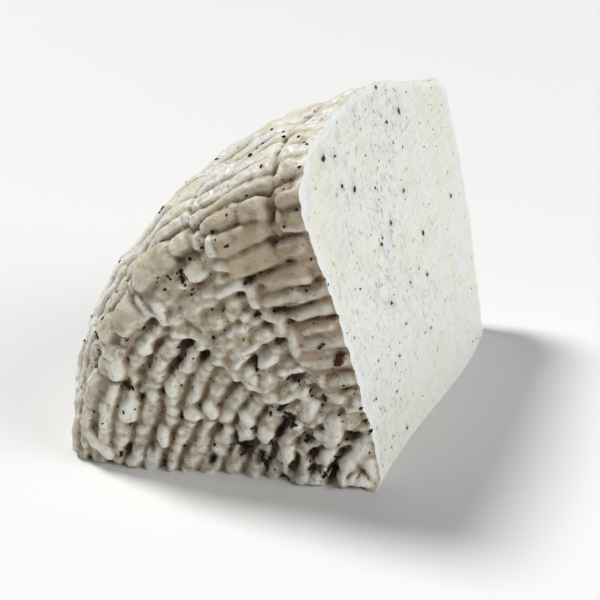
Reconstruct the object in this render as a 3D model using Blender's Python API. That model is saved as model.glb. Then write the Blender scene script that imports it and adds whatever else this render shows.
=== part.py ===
"""A wedge cut from a small, tall wheel of fresh cheese with pepper flakes.

The wheel was drained in a basket, so its flat face carries the print of the basket's
concentric rings, its large lower rim the print of the blocks between the posts, and its
wall the print of the hoops. The wedge lies on one of its two cut faces.

Frame: metres, +Z up, the wheel's axis along +Y, and the ringed face towards -Y. The two
cuts meet in the tip edge, which lies on the floor on the +X side. The origin is on the
floor, under the middle of the wedge's box.
"""

import math
import random

import bmesh
import bpy
import numpy as np
from mathutils import Matrix, Vector, noise
from mathutils.geometry import delaunay_2d_cdt

# The wheel
WHEEL_RADIUS = 0.072
WHEEL_HEIGHT = 0.0844
RINGED_HOLLOW = (0.0027, 0.0061)
LOWER_RIM_RADIAL = 0.0164
LOWER_RIM_AXIAL = 0.0399
WALL_DRAFT = 0.0022
WALL_SWELL = 0.0006
UPPER_RIM_RADIUS = 0.0089
UPPER_SWELL = 0.0044
UPPER_HOLLOW = 0.0077

# The two cuts. They meet short of the wheel's axis, which leans a little from the tip edge,
# and the wheel's faces aren't square to it, because the knife went down by hand.
WEDGE_ANGLE = math.radians(77.7)
AXIS_START = Vector((0.0042, -0.0042))
AXIS_LEAN = Vector((-0.0163, -0.0288))
FACE_SLOPE = Vector((0.194, 0.012))
TIP_BOW = 0.0012
TIP_WAVE = -0.0010
TIP_BOW_REACH = 0.020

# The tip edge's place in the row's frame, which puts the origin under the box's middle
TIP_PLACE = Vector((0.0332, -0.0368, 0.0))

# The basket's print
RING_PITCH = 0.00415
FIRST_GROOVE = 0.0035
RING_DEPTH = 0.0012
BLOCK_DEPTH = 0.0017
HOOP_DEPTH = 0.0009
BLOCK_START = 0.048
BLOCK_END = 0.072
POST_ANGLES = [math.radians(angle) for angle in (13.0, 27.0, 41.5, 57.0, 71.8)]
POST_WIDTH = 0.0026
POST_DEPTH = 0.0012
BAY_STEP = 0.4
GROOVE_POWER = 3
NORMAL_STEP = 0.3 * RING_PITCH

# Two radial ribs of the basket left raised lines over the rings, from one length to another
RIB_ANGLES = [math.radians(angle) for angle in (40.2, 61.0)]
RIB_START = 0.017
RIB_END = 0.052
RIB_WIDTH = 0.0022
RIB_HEIGHT = 0.0009

# The curd's own unevenness, over the whole rind
LUMP_SIZE = 0.0095
LUMP_HEIGHT = 0.0011
LUMP_BIAS = 0.1
BEAD_SIZE = 0.0048
BEAD_HEIGHT = 0.0006
BEAD_SHIFT = Vector((7.0, 3.0, 5.0))
WANDER = 0.0005
WANDER_SHIFT = Vector((1.5, 9.0, 4.0))

# A thick swollen block at the near corner of the foot: its place on the rind, and its size
CORNER_LENGTH = 0.058
CORNER_ANGLE = math.radians(7.0)
CORNER_RADIUS = 0.0075
CORNER_HEIGHT = 0.0012
CORNER_FILL = 0.6

# The mesh. A ridge has a row in its groove and one on each shoulder, and the middle of
# each face, where the rings are short, has half the columns.
ROW_PHASES = (0.0, 0.3, 0.7)
COLUMNS = 32
INNER_COLUMNS = COLUMNS // 2
INNER_REACH = 0.5 * WHEEL_RADIUS
ARC_STEPS = 24
WALL_STEPS = 12
TIP_STEPS = 18
TIP_STRIPS = (0.006, 0.013, 0.021, 0.031)
FILL_TOLERANCE = 1e-7

# Pepper flakes that stand out of the ringed face and its rim: each one's angle in degrees,
# its length along the rind, its long and short sizes, and its turn in degrees
FLAKES = (
    (48.8, 0.0726, 0.0022, 0.0011, 30.0),
    (50.6, 0.0546, 0.0024, 0.0012, 70.0),
    (61.1, 0.0477, 0.0021, 0.0012, 10.0),
    (63.6, 0.0405, 0.0026, 0.0011, 5.0),
    (73.8, 0.0276, 0.0036, 0.0019, 35.0),
    (47.9, 0.0342, 0.0026, 0.0011, 50.0),
    (54.4, 0.0276, 0.0023, 0.0012, 40.0),
    (21.0, 0.0512, 0.0026, 0.0012, 80.0),
    (38.4, 0.0422, 0.0023, 0.0011, 0.0),
    (38.0, 0.0219, 0.0032, 0.0017, 70.0),
    (39.8, 0.0242, 0.0026, 0.0011, 5.0),
    (30.4, 0.0214, 0.0024, 0.0011, 15.0),
    (24.6, 0.0216, 0.0022, 0.0011, -20.0),
    (13.2, 0.0274, 0.0026, 0.0011, 40.0),
    (10.6, 0.0260, 0.0022, 0.0011, -30.0),
    (11.2, 0.0226, 0.0024, 0.0011, 10.0),
    (6.6, 0.0214, 0.0021, 0.0011, 20.0),
    (11.7, 0.0168, 0.0024, 0.0013, 20.0),
    (26.0, 0.0093, 0.0030, 0.0011, 5.0),
    (18.0, 0.0099, 0.0024, 0.0011, -15.0),
    (59.1, 0.0114, 0.0028, 0.0011, 10.0),
    (34.2, 0.0162, 0.0023, 0.0011, -15.0),
)

# Flakes spread over the wall and the upper face, where the photograph shows none
WALL_FLAKE_COUNT = 14
WALL_FLAKE_SEED = 11
WALL_FLAKE_START = 0.080
WALL_FLAKE_END = 0.190
WALL_FLAKE_MARGIN = 0.08
WALL_FLAKE_LONG = (0.0018, 0.0028)
WALL_FLAKE_WIDTH_SHARE = 0.6
FLAKE_THICKNESS = 0.0011
FLAKE_SINK = 0.0002

# Colours, as linear red, green, blue and alpha
RIND_COLOUR = (0.62, 0.58, 0.50, 1.0)
PASTE_COLOUR = (0.74, 0.75, 0.69, 1.0)
FLAKE_COLOUR = (0.045, 0.026, 0.016, 1.0)
RIND_ROUGHNESS = 0.55
PASTE_ROUGHNESS = 0.5
FLAKE_ROUGHNESS = 0.6

# The cuts' place in the wedge's list of materials, after the rind
PASTE_SLOT = 1


def smooth_step(value, start, end):
    """0 before start, 1 after end, and a smooth rise between them."""
    share = min(max((value - start) / (end - start), 0.0), 1.0)
    return share * share * (3.0 - 2.0 * share)


LOWER_FLAT = WHEEL_RADIUS - LOWER_RIM_RADIAL
UPPER_RADIUS = WHEEL_RADIUS - WALL_DRAFT
UPPER_FLAT = UPPER_RADIUS - UPPER_RIM_RADIUS
QUARTER_TURN = np.linspace(0.0, math.pi / 2, ARC_STEPS)


def wheel_profile():
    """Half of the wheel's outline with flat faces, from the ringed face's middle to the upper face's.

    Returns radii, heights and the arc length at each point.
    """
    rise = WHEEL_HEIGHT - UPPER_RIM_RADIUS - LOWER_RIM_AXIAL
    points = [(0.0, 0.0)]
    for turn in QUARTER_TURN:
        radius = LOWER_FLAT + LOWER_RIM_RADIAL * math.sin(turn)
        points.append((radius, LOWER_RIM_AXIAL * (1.0 - math.cos(turn))))
    for share in np.linspace(0.0, 1.0, WALL_STEPS)[1:-1]:
        radius = WHEEL_RADIUS - WALL_DRAFT * share + WALL_SWELL * math.sin(math.pi * share)
        points.append((radius, LOWER_RIM_AXIAL + rise * share))
    for turn in QUARTER_TURN:
        radius = UPPER_FLAT + UPPER_RIM_RADIUS * math.cos(turn)
        points.append((radius, WHEEL_HEIGHT - UPPER_RIM_RADIUS * (1.0 - math.sin(turn))))
    points.append((0.0, WHEEL_HEIGHT))
    radii, heights = np.array(points).T
    steps = np.hypot(np.diff(radii), np.diff(heights))
    return radii, heights, np.concatenate([[0.0], np.cumsum(steps)])


RADII, HEIGHTS, LENGTHS = wheel_profile()
PROFILE_LENGTH = float(LENGTHS[-1])
UPPER_START = PROFILE_LENGTH - UPPER_FLAT


def reach_from_tip(radius, height, angle):
    """How far from the tip edge the wheel's circle of this radius is, along this angle."""
    axis = AXIS_START + AXIS_LEAN * height
    along = Vector((-math.cos(angle), math.sin(angle))).dot(axis)
    return along + math.sqrt(along**2 - axis.length_squared + radius**2)


def smooth_point(length, angle):
    """The smooth wheel at this arc length and angle, as (reach from the tip, height)."""
    radius = float(np.interp(length, LENGTHS, RADII))
    height = float(np.interp(length, LENGTHS, HEIGHTS))
    if length < LOWER_FLAT:
        share = radius / LOWER_FLAT
        turn = angle / WEDGE_ANGLE
        hollow = RINGED_HOLLOW[0] * (1.0 - turn) + RINGED_HOLLOW[1] * turn
        height += hollow * (1.0 - share**2)
        reach = share * reach_from_tip(LOWER_FLAT, height, angle)
    elif length > UPPER_START:
        share = radius / UPPER_FLAT
        reach = share * reach_from_tip(UPPER_FLAT, height, angle)
        height += UPPER_SWELL * math.sin(math.pi * share) - UPPER_HOLLOW * (1.0 - share)
    else:
        reach = reach_from_tip(radius, height, angle)
    slope = FACE_SLOPE.y * math.sin(angle) - FACE_SLOPE.x * math.cos(angle)
    return Vector((reach, height + slope * reach))


def in_space(point, angle):
    """Turns (reach, height) at an angle about the tip edge into a place in the row's frame."""
    reach, height = point
    share = min(max(height / WHEEL_HEIGHT, 0.0), 1.0)
    bow = TIP_BOW * math.sin(math.pi * share) + TIP_WAVE * math.sin(2.0 * math.pi * share)
    bow *= math.exp(-((reach / TIP_BOW_REACH) ** 2))
    return TIP_PLACE + Vector((bow - math.cos(angle) * reach, height, math.sin(angle) * reach))


def post_shift(length, angle):
    """How far the blocks and hoops step sideways from one bay to the next, past each post."""
    shift = 0.0
    for number, post in enumerate(POST_ANGLES):
        half_width = 0.5 * POST_WIDTH / WHEEL_RADIUS
        side = 1.0 if number % 2 == 0 else -1.0
        shift += side * smooth_step(angle, post - half_width, post + half_width)
    past_rings = smooth_step(length, LOWER_FLAT - RING_PITCH, LOWER_FLAT)
    past_wall = smooth_step(length, UPPER_START - 2.0 * RING_PITCH, UPPER_START)
    return BAY_STEP * RING_PITCH * shift * past_rings * (1.0 - past_wall)


def relief(length, phase, angle, place):
    """The print's height above the smooth wheel: ridges, blocks between posts, ribs and lumps."""
    on_blocks = smooth_step(length, BLOCK_START, BLOCK_START + RING_PITCH)
    past_blocks = smooth_step(length, BLOCK_END, BLOCK_END + RING_PITCH)
    depth = RING_DEPTH + (BLOCK_DEPTH - RING_DEPTH) * on_blocks + (HOOP_DEPTH - BLOCK_DEPTH) * past_blocks
    groove = abs(2.0 * phase - 1.0) ** GROOVE_POWER
    height = -depth * groove
    past_wall = smooth_step(length, UPPER_START - 2.0 * RING_PITCH, UPPER_START)
    for post in POST_ANGLES:
        off_post = abs(angle - post) * WHEEL_RADIUS / POST_WIDTH
        height -= POST_DEPTH * on_blocks * (1.0 - past_wall) * math.exp(-((2.0 * off_post) ** 2))
    on_ribs = smooth_step(length, RIB_START, RIB_START + RING_PITCH)
    on_ribs *= 1.0 - smooth_step(length, RIB_END - RING_PITCH, RIB_END)
    for rib in RIB_ANGLES:
        off_rib = (angle - rib) * length / RIB_WIDTH
        height += on_ribs * (RIB_HEIGHT - height) * math.exp(-(off_rib**2))
    lumps = noise.noise(place / LUMP_SIZE) - LUMP_BIAS
    beads = noise.noise(place / BEAD_SIZE + BEAD_SHIFT)
    from_corner = math.hypot(length - CORNER_LENGTH, (angle - CORNER_ANGLE) * WHEEL_RADIUS)
    corner = math.exp(-((from_corner / CORNER_RADIUS) ** 4))
    height += (CORNER_HEIGHT + CORNER_FILL * depth * groove) * corner
    return height + LUMP_HEIGHT * lumps + BEAD_HEIGHT * beads


def rind_point(length, phase, angle):
    """A point of the printed rind. Its relief stays in the plane through the tip edge."""
    smooth = in_space(smooth_point(length, angle), angle)
    fade = smooth_step(min(length, PROFILE_LENGTH - length), 0.0, FIRST_GROOVE)
    length += fade * WANDER * noise.noise(smooth / LUMP_SIZE + WANDER_SHIFT)
    length += post_shift(length, angle)
    length = min(max(length, 0.0), PROFILE_LENGTH)
    before = smooth_point(max(length - NORMAL_STEP, 0.0), angle)
    after = smooth_point(min(length + NORMAL_STEP, PROFILE_LENGTH), angle)
    along = (after - before).normalized()
    outward = Vector((along.y, -along.x))
    point = smooth_point(length, angle) + fade * relief(length, phase, angle, smooth) * outward
    return in_space(point, angle)


def ridge_rows():
    """(arc length, phase in its ridge) of each row, from groove to groove over the wheel."""
    rows = []
    ridge = -1
    while True:
        for phase in ROW_PHASES:
            length = FIRST_GROOVE + (ridge + phase) * RING_PITCH
            if length > PROFILE_LENGTH - 0.5 * RING_PITCH:
                return rows
            if length > 0.5 * RING_PITCH:
                rows.append((length, phase))
        ridge += 1


def row_columns(length):
    inner = min(length, PROFILE_LENGTH - length) < INNER_REACH
    return INNER_COLUMNS if inner else COLUMNS


def stitch(mesh, lower, upper):
    """Fills the strip between two rows, one of which may have half the columns."""
    if len(lower) == len(upper):
        for left in range(len(lower) - 1):
            mesh.faces.new((lower[left], lower[left + 1], upper[left + 1]))
            mesh.faces.new((lower[left], upper[left + 1], upper[left]))
        return
    coarse, fine, flip = (lower, upper, False) if len(lower) < len(upper) else (upper, lower, True)
    for left in range(len(coarse) - 1):
        fan = [fine[2 * left], fine[2 * left + 1], fine[2 * left + 2]]
        triangles = (
            (coarse[left], fan[1], fan[0]),
            (coarse[left], coarse[left + 1], fan[1]),
            (coarse[left + 1], fan[2], fan[1]),
        )
        for corners in triangles:
            mesh.faces.new(corners[::-1] if flip else corners)


def fill_cut(mesh, border, inner, flat_places):
    """Fills a cut face with triangles between its border and its inner vertices."""
    corners = border + inner
    count = len(border)
    edges = [(index, (index + 1) % count) for index in range(count)]
    result = delaunay_2d_cdt(flat_places, edges, [], 1, FILL_TOLERANCE)
    for triangle in result[2]:
        face = mesh.faces.new([corners[result[3][index][0]] for index in triangle])
        face.material_index = PASTE_SLOT


def build_wedge():
    """The whole wedge as one closed mesh, without its flakes."""
    mesh = bmesh.new()
    near_tip = mesh.verts.new(in_space(smooth_point(0.0, 0.0), 0.0))
    far_tip = mesh.verts.new(in_space(smooth_point(PROFILE_LENGTH, 0.0), 0.0))
    rows = []
    for length, phase in ridge_rows():
        columns = row_columns(length)
        angles = [WEDGE_ANGLE * column / columns for column in range(columns + 1)]
        rows.append([mesh.verts.new(rind_point(length, phase, angle)) for angle in angles])
    for left in range(len(rows[0]) - 1):
        mesh.faces.new((near_tip, rows[0][left + 1], rows[0][left]))
    for left in range(len(rows[-1]) - 1):
        mesh.faces.new((far_tip, rows[-1][left], rows[-1][left + 1]))
    for lower, upper in zip(rows, rows[1:]):
        stitch(mesh, lower, upper)

    near_height = near_tip.co.y - TIP_PLACE.y
    far_height = far_tip.co.y - TIP_PLACE.y
    shares = [step / TIP_STEPS for step in range(1, TIP_STEPS)]
    heights = [far_height + (near_height - far_height) * share for share in shares]
    tip = [mesh.verts.new(in_space(Vector((0.0, height)), 0.0)) for height in heights]
    border_ends = [near_tip] + [row[0] for row in rows] + [far_tip]
    flat = [vert.co.xy for vert in border_ends + tip]
    fill_cut(mesh, border_ends + tip, [], flat)

    slant = [near_tip] + [row[-1] for row in rows] + [far_tip]
    inner = []
    flat = [cut_plane_place(vert.co) for vert in slant + tip]
    for strip in TIP_STRIPS:
        for height in heights:
            vert = mesh.verts.new(in_space(Vector((strip, height)), WEDGE_ANGLE))
            inner.append(vert)
            flat.append(cut_plane_place(vert.co))
    fill_cut(mesh, slant + tip, inner, flat)
    bmesh.ops.recalc_face_normals(mesh, faces=mesh.faces)
    return mesh


def cut_plane_place(place):
    """A point of the slanted cut in that face's own two directions."""
    from_tip = place - TIP_PLACE
    return Vector((from_tip.z / math.sin(WEDGE_ANGLE), from_tip.y))


def material(name, colour, roughness):
    """A plain material of one colour."""
    made = bpy.data.materials.new(name)
    made.use_nodes = True
    shader = made.node_tree.nodes["Principled BSDF"]
    shader.inputs["Base Color"].default_value = colour
    shader.inputs["Roughness"].default_value = roughness
    made.diffuse_color = colour
    return made


def new_object(name, mesh, materials, collection):
    data = bpy.data.meshes.new(name)
    mesh.to_mesh(data)
    mesh.free()
    for made in materials:
        data.materials.append(made)
    made = bpy.data.objects.new(name, data)
    collection.objects.link(made)
    return made


def wall_flakes():
    """Flakes spread over the wall and the upper face, from its foot upwards, in the form of FLAKES."""
    draw = random.Random(WALL_FLAKE_SEED)
    flakes = []
    for number in range(WALL_FLAKE_COUNT):
        share = (number + draw.random()) / WALL_FLAKE_COUNT
        length = WALL_FLAKE_START + share * (WALL_FLAKE_END - WALL_FLAKE_START)
        angle = math.degrees(WEDGE_ANGLE) * draw.uniform(WALL_FLAKE_MARGIN, 1.0 - WALL_FLAKE_MARGIN)
        long = draw.uniform(*WALL_FLAKE_LONG)
        flakes.append((angle, length, long, WALL_FLAKE_WIDTH_SHARE * long, draw.uniform(0.0, 180.0)))
    return flakes


def flake_place(angle, length, long, short, turn):
    """The matrix that turns a unit ball into a flake, half sunk in the rind."""
    length -= post_shift(length, angle)
    phase = (length - FIRST_GROOVE) / RING_PITCH % 1.0
    centre = rind_point(length, phase, angle)
    ringwise = (rind_point(length, phase, angle + NORMAL_STEP / length) - centre).normalized()
    lengthwise = rind_point(length + NORMAL_STEP, phase, angle) - centre
    outward = ringwise.cross(lengthwise).normalized()
    long_way = math.cos(turn) * ringwise + math.sin(turn) * outward.cross(ringwise)
    axes = Matrix((long_way, outward.cross(long_way), outward)).transposed().to_4x4()
    scale = Matrix.Diagonal((long / 2, short / 2, FLAKE_THICKNESS / 2, 1.0))
    return Matrix.Translation(centre - FLAKE_SINK * outward) @ axes @ scale


def add_flakes(collection, materials):
    """Pepper flakes, each a flat lump half sunk in the rind."""
    for number, (angle, length, long, short, turn) in enumerate([*FLAKES, *wall_flakes()]):
        place = flake_place(math.radians(angle), length, long, short, math.radians(turn))
        flake = bmesh.new()
        bmesh.ops.create_icosphere(flake, subdivisions=1, radius=1.0, matrix=place)
        new_object(f"flake_{number}", flake, materials, collection)


def fuse(wedge, collection):
    """Joins the flakes to the wedge with one union, and removes their own objects."""
    union = wedge.modifiers.new("flakes", "BOOLEAN")
    union.operation = "UNION"
    union.operand_type = "COLLECTION"
    union.collection = collection
    union.solver = "MANIFOLD"
    bpy.context.view_layer.update()
    graph = bpy.context.evaluated_depsgraph_get()
    fused = bpy.data.meshes.new_from_object(wedge.evaluated_get(graph))
    wedge.modifiers.clear()
    wedge.data = fused
    for flake in list(collection.objects):
        bpy.data.objects.remove(flake)
    bpy.data.collections.remove(collection)


def main():
    for old in list(bpy.data.objects):
        bpy.data.objects.remove(old)
    scene = bpy.context.scene.collection
    rind = material("rind", RIND_COLOUR, RIND_ROUGHNESS)
    paste = material("cut_paste", PASTE_COLOUR, PASTE_ROUGHNESS)
    pepper = material("pepper_flakes", FLAKE_COLOUR, FLAKE_ROUGHNESS)
    wedge = new_object("cheese_wedge", build_wedge(), [rind, paste, pepper], scene)
    flakes = bpy.data.collections.new("flakes")
    scene.children.link(flakes)
    add_flakes(flakes, [pepper])
    fuse(wedge, flakes)


main()
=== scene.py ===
"""The looks of a wedge of fresh pepper cheese, lying on one cut face.

The wheel was drained in a basket. Its flat face carries the print of concentric rings and
radial ribs, its big lower rim a print of thick blocks, and its wall a print of hoops. Here
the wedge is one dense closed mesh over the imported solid, with pepper flakes on its rind and
specks in its slanted cut.

Frame: metres, +Z up, the wheel's axis along +Y, and the ringed face towards -Y. A place on
the rind is given by its length along the rind from the tip edge and its angle from the cut
on the floor. A place on the slanted cut is given by its reach from the tip edge and its
depth behind the ringed face's tip. Blocks, lumps, pits, patches and flakes are in degrees
and millimetres.
"""

import logging
import math
import random
from dataclasses import dataclass, field
from enum import Enum

import bmesh
import bpy
import numpy as np
from bpy.types import Material, Mesh, Node, NodeSocket as Socket, NodeTree, Object
from mathutils import Matrix, Vector, noise
from mathutils.geometry import delaunay_2d_cdt


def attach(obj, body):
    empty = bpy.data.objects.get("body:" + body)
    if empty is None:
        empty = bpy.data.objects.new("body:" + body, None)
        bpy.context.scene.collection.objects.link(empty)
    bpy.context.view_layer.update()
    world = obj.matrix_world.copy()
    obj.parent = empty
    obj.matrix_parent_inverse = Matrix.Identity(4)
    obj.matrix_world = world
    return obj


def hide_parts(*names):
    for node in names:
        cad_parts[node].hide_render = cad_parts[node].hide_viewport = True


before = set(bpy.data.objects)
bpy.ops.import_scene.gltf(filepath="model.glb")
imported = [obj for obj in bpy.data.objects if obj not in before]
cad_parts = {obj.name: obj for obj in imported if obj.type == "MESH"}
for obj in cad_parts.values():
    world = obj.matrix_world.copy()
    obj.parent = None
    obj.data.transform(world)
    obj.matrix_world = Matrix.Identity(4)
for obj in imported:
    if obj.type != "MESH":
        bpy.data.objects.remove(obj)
LOG = logging.getLogger("cheese")
MM = 0.001
CAD_NODE = "cheese_wedge"
BODY = "root"
# The colour sockets of the mix node, which gives the same names to its other kinds
COLOUR_A = 6
COLOUR_B = 7
COLOUR_OUT = 2
MIDDLE_GREY = (0.5, 0.5, 0.5)
# Large numbers that scatter_number mixes its whole numbers with
MIXERS = (374761393, 668265263, 974634777)
SEED_MIXER = 144269504
LAST_MIXER = 1274126177
WORD = 0xFFFFFFFF

Array = np.ndarray
Span = tuple[float, float]
Vector3 = tuple[float, float, float]
Colour = tuple[float, float, float, float]
Triangle = tuple[int, int, int]
Points = list[list[float]]


def smooth_step(value: Array, start: float, end: float) -> Array:
    """0 before start, 1 after end, and a smooth rise between them."""
    share = np.clip((value - start) / (end - start), 0.0, 1.0)
    return share * share * (3.0 - 2.0 * share)


def plateau(value: Array, rise: Span, fall: Span) -> Array:
    """1 between a smooth rise and a smooth fall, and 0 outside them."""
    return smooth_step(value, *rise) * (1.0 - smooth_step(value, *fall))


def lumps(places: Array, size: float, shift: Vector3 = (0.0, 0.0, 0.0)) -> Array:
    """Smooth noise between about -1 and 1, in lumps of a size. A shift moves the pattern."""
    return np.array([noise.noise(place) for place in (places / size + np.array(shift)).tolist()])


def scatter_number(seed: int, *wholes: Array) -> Array:
    """A fixed random number from 0 to 1 for each set of up to three whole numbers, given as columns."""
    mixed = seed * SEED_MIXER
    for whole, mixer in zip(wholes, MIXERS):
        mixed = mixed + whole.astype(np.int64) * mixer
    mixed = mixed & WORD
    mixed = ((mixed ^ (mixed >> 13)) * LAST_MIXER) & WORD
    mixed = ((mixed ^ (mixed >> 16)) * MIXERS[0]) & WORD
    return (mixed ^ (mixed >> 15)) / float(WORD)


def pebbles(places: Array, size: float, seed: int) -> Array:
    """Rounded bumps packed side by side, 1 on their tops and 0 in the creases between them."""
    cells = np.floor(places / size).astype(np.int64)
    nearest = np.full(len(places), 9.0)
    for step in np.ndindex(3, 3, 3):
        cell = cells + np.array(step) - 1
        jitter = np.stack([scatter_number(seed + axis, *cell.T) for axis in range(3)], axis=-1)
        away = ((places / size - cell - jitter) ** 2).sum(axis=-1)
        nearest = np.minimum(nearest, away)
    return 1.0 - np.minimum(nearest, 1.0)


class Surface(Enum):
    """The two surfaces of the wedge, by their place in its list of materials."""

    RIND = 0
    PASTE = 1


@dataclass(frozen=True)
class Block:
    """A thick block over the rings: its middle, its size along and across them, and its rise."""

    angle: float
    length: float
    across: float
    along: float
    rise: float


@dataclass(frozen=True)
class Lump:
    """A rounded lump of curd, from one place on the rind to another, of a width and a rise."""

    angle: float
    length: float
    end_angle: float
    end_length: float
    width: float
    rise: float


@dataclass(frozen=True)
class Pit:
    """A deep crevice in the print: its place, its width and its depth."""

    angle: float
    length: float
    width: float
    depth: float


@dataclass(frozen=True)
class Patch:
    """A soft patch of colour: its middle, and how far it spreads in degrees and along the rind."""

    angle: float
    length: float
    wide: float
    high: float


@dataclass(frozen=True)
class Flake:
    """One pepper flake large enough to be seen on its own.

    Attributes:
        across: Its angle or, on the slanted cut, its depth behind the ringed face.
        along: Its length along the rind or, on the slanted cut, its reach from the tip edge.
        long: Its size one way, and short the other way.
        turn: Its turn on the surface.
        tint: Its colour, from 0 for black over 0.6 for red-brown husk to 1 for rust.
    """

    across: float
    along: float
    long: float
    short: float
    turn: float = 0.0
    tint: float = 0.1


@dataclass(frozen=True)
class Spine:
    """A raised line along one of the basket's radial ribs, from one length to another."""

    angle: float
    start: float
    end: float
    rise: float
    width: float = 1.5


@dataclass(frozen=True)
class Wheel:
    """The smooth wheel that the wedge was cut from, and how the knife cut it.

    Attributes:
        ringed_hollow: How far the ringed face's middle sinks, at the floor and at the slanted cut.
        wall_draft: How far the wall leans in on its way up, and wall_swell how far it swells.
        upper_swell: How far the upper face swells, and upper_hollow how far its middle sinks.
        axis_start: The wheel's axis at the ringed face, seen from the tip edge.
        axis_lean: How far the axis leans away from the tip edge, for each metre.
        face_slope: How far the faces slope off square to the tip edge, for each metre.
        tip_bow: How far the tip edge bows out, and tip_wave how far it swings to and fro.
        tip_bow_reach: How far from the tip edge its bow can be seen.
        tip_place: The near end of the tip edge.
        radii: The outline's radii from the ringed face's middle on, with its heights and lengths.
    """

    radius: float = 72.0 * MM
    height: float = 84.4 * MM
    ringed_hollow: Span = (2.7 * MM, 6.1 * MM)
    lower_rim_radial: float = 16.4 * MM
    lower_rim_axial: float = 39.9 * MM
    wall_draft: float = 2.2 * MM
    wall_swell: float = 0.6 * MM
    upper_rim_radius: float = 8.9 * MM
    upper_swell: float = 4.4 * MM
    upper_hollow: float = 7.7 * MM
    wedge_angle: float = math.radians(77.7)
    axis_start: Span = (4.2 * MM, -4.2 * MM)
    axis_lean: Span = (-0.0163, -0.0288)
    face_slope: Span = (0.194, 0.012)
    tip_bow: float = 1.2 * MM
    tip_wave: float = -1.0 * MM
    tip_bow_reach: float = 20.0 * MM
    tip_place: Vector3 = (33.2 * MM, -36.8 * MM, 0.0)
    radii: Array = field(init=False, repr=False)
    heights: Array = field(init=False, repr=False)
    lengths: Array = field(init=False, repr=False)

    def __post_init__(self) -> None:
        """Works out half of the wheel's outline, from the ringed face's middle to the upper face's."""
        turn = np.linspace(0.0, math.pi / 2, 24)
        share = np.linspace(0.0, 1.0, 12)[1:-1]
        rise = self.height - self.upper_rim_radius - self.lower_rim_axial
        radii = [
            [0.0],
            self.lower_flat + self.lower_rim_radial * np.sin(turn),
            self.radius - self.wall_draft * share + self.wall_swell * np.sin(math.pi * share),
            self.upper_flat + self.upper_rim_radius * np.cos(turn),
            [0.0],
        ]
        heights = [
            [0.0],
            self.lower_rim_axial * (1.0 - np.cos(turn)),
            self.lower_rim_axial + rise * share,
            self.height - self.upper_rim_radius * (1.0 - np.sin(turn)),
            [self.height],
        ]
        radii, heights = np.concatenate(radii), np.concatenate(heights)
        steps = np.hypot(np.diff(radii), np.diff(heights))
        object.__setattr__(self, "radii", radii)
        object.__setattr__(self, "heights", heights)
        object.__setattr__(self, "lengths", np.concatenate([[0.0], np.cumsum(steps)]))

    @property
    def lower_flat(self) -> float:
        """The ringed face's radius, up to its rim."""
        return self.radius - self.lower_rim_radial

    @property
    def upper_flat(self) -> float:
        """The upper face's radius, up to its rim."""
        return self.radius - self.wall_draft - self.upper_rim_radius

    @property
    def slant_normal(self) -> Array:
        """The direction that the slanted cut faces."""
        return np.array([math.sin(self.wedge_angle), 0.0, math.cos(self.wedge_angle)])

    @property
    def profile_length(self) -> float:
        """The rind's length from the tip edge's near end, over the wall, to its far end."""
        return float(self.lengths[-1])

    @property
    def upper_start(self) -> float:
        """The length at which the upper face starts."""
        return self.profile_length - self.upper_flat

    def reach_from_tip(self, radius: Array, height: Array, angle: Array) -> Array:
        """How far from the tip edge the wheel's circle of this radius is, along this angle."""
        axis_x = self.axis_start[0] + self.axis_lean[0] * height
        axis_y = self.axis_start[1] + self.axis_lean[1] * height
        along = np.sin(angle) * axis_y - np.cos(angle) * axis_x
        return along + np.sqrt(along**2 - axis_x**2 - axis_y**2 + radius**2)

    def smooth_point(self, length: Array, angle: Array) -> Array:
        """The smooth rind.

        Args:
            length: Lengths along the rind.
            angle: Angles from the cut on the floor, in radians.

        Returns:
            (reach from the tip edge, height along the axis), one row for each point.
        """
        radius = np.interp(length, self.lengths, self.radii)
        height = np.interp(length, self.lengths, self.heights)
        on_ringed = length < self.lower_flat
        on_upper = length > self.upper_start
        ringed_share = radius / self.lower_flat
        turn = angle / self.wedge_angle
        hollow = self.ringed_hollow[0] * (1.0 - turn) + self.ringed_hollow[1] * turn
        ringed_height = height + hollow * (1.0 - ringed_share**2)
        ringed_reach = ringed_share * self.reach_from_tip(self.lower_flat, ringed_height, angle)
        upper_share = radius / self.upper_flat
        upper_reach = upper_share * self.reach_from_tip(self.upper_flat, height, angle)
        upper_height = height + self.upper_swell * np.sin(math.pi * np.clip(upper_share, 0.0, 1.0))
        upper_height = upper_height - self.upper_hollow * (1.0 - upper_share)
        wall_reach = self.reach_from_tip(np.maximum(radius, 0.5 * self.lower_flat), height, angle)
        reach = np.where(on_ringed, ringed_reach, np.where(on_upper, upper_reach, wall_reach))
        height = np.where(on_ringed, ringed_height, np.where(on_upper, upper_height, height))
        slope = self.face_slope[1] * np.sin(angle) - self.face_slope[0] * np.cos(angle)
        return np.stack([reach, height + slope * reach], axis=-1)

    def in_space(self, point: Array, angle: Array) -> Array:
        """Turns (reach, height) at an angle about the tip edge into places in the row's frame."""
        reach, height = point[..., 0], point[..., 1]
        share = np.clip(height / self.height, 0.0, 1.0)
        bow = self.tip_bow * np.sin(math.pi * share) + self.tip_wave * np.sin(2.0 * math.pi * share)
        bow = bow * np.exp(-((reach / self.tip_bow_reach) ** 2))
        place = np.stack([bow - np.cos(angle) * reach, height, np.sin(angle) * reach], axis=-1)
        return place + np.array(self.tip_place)


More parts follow.
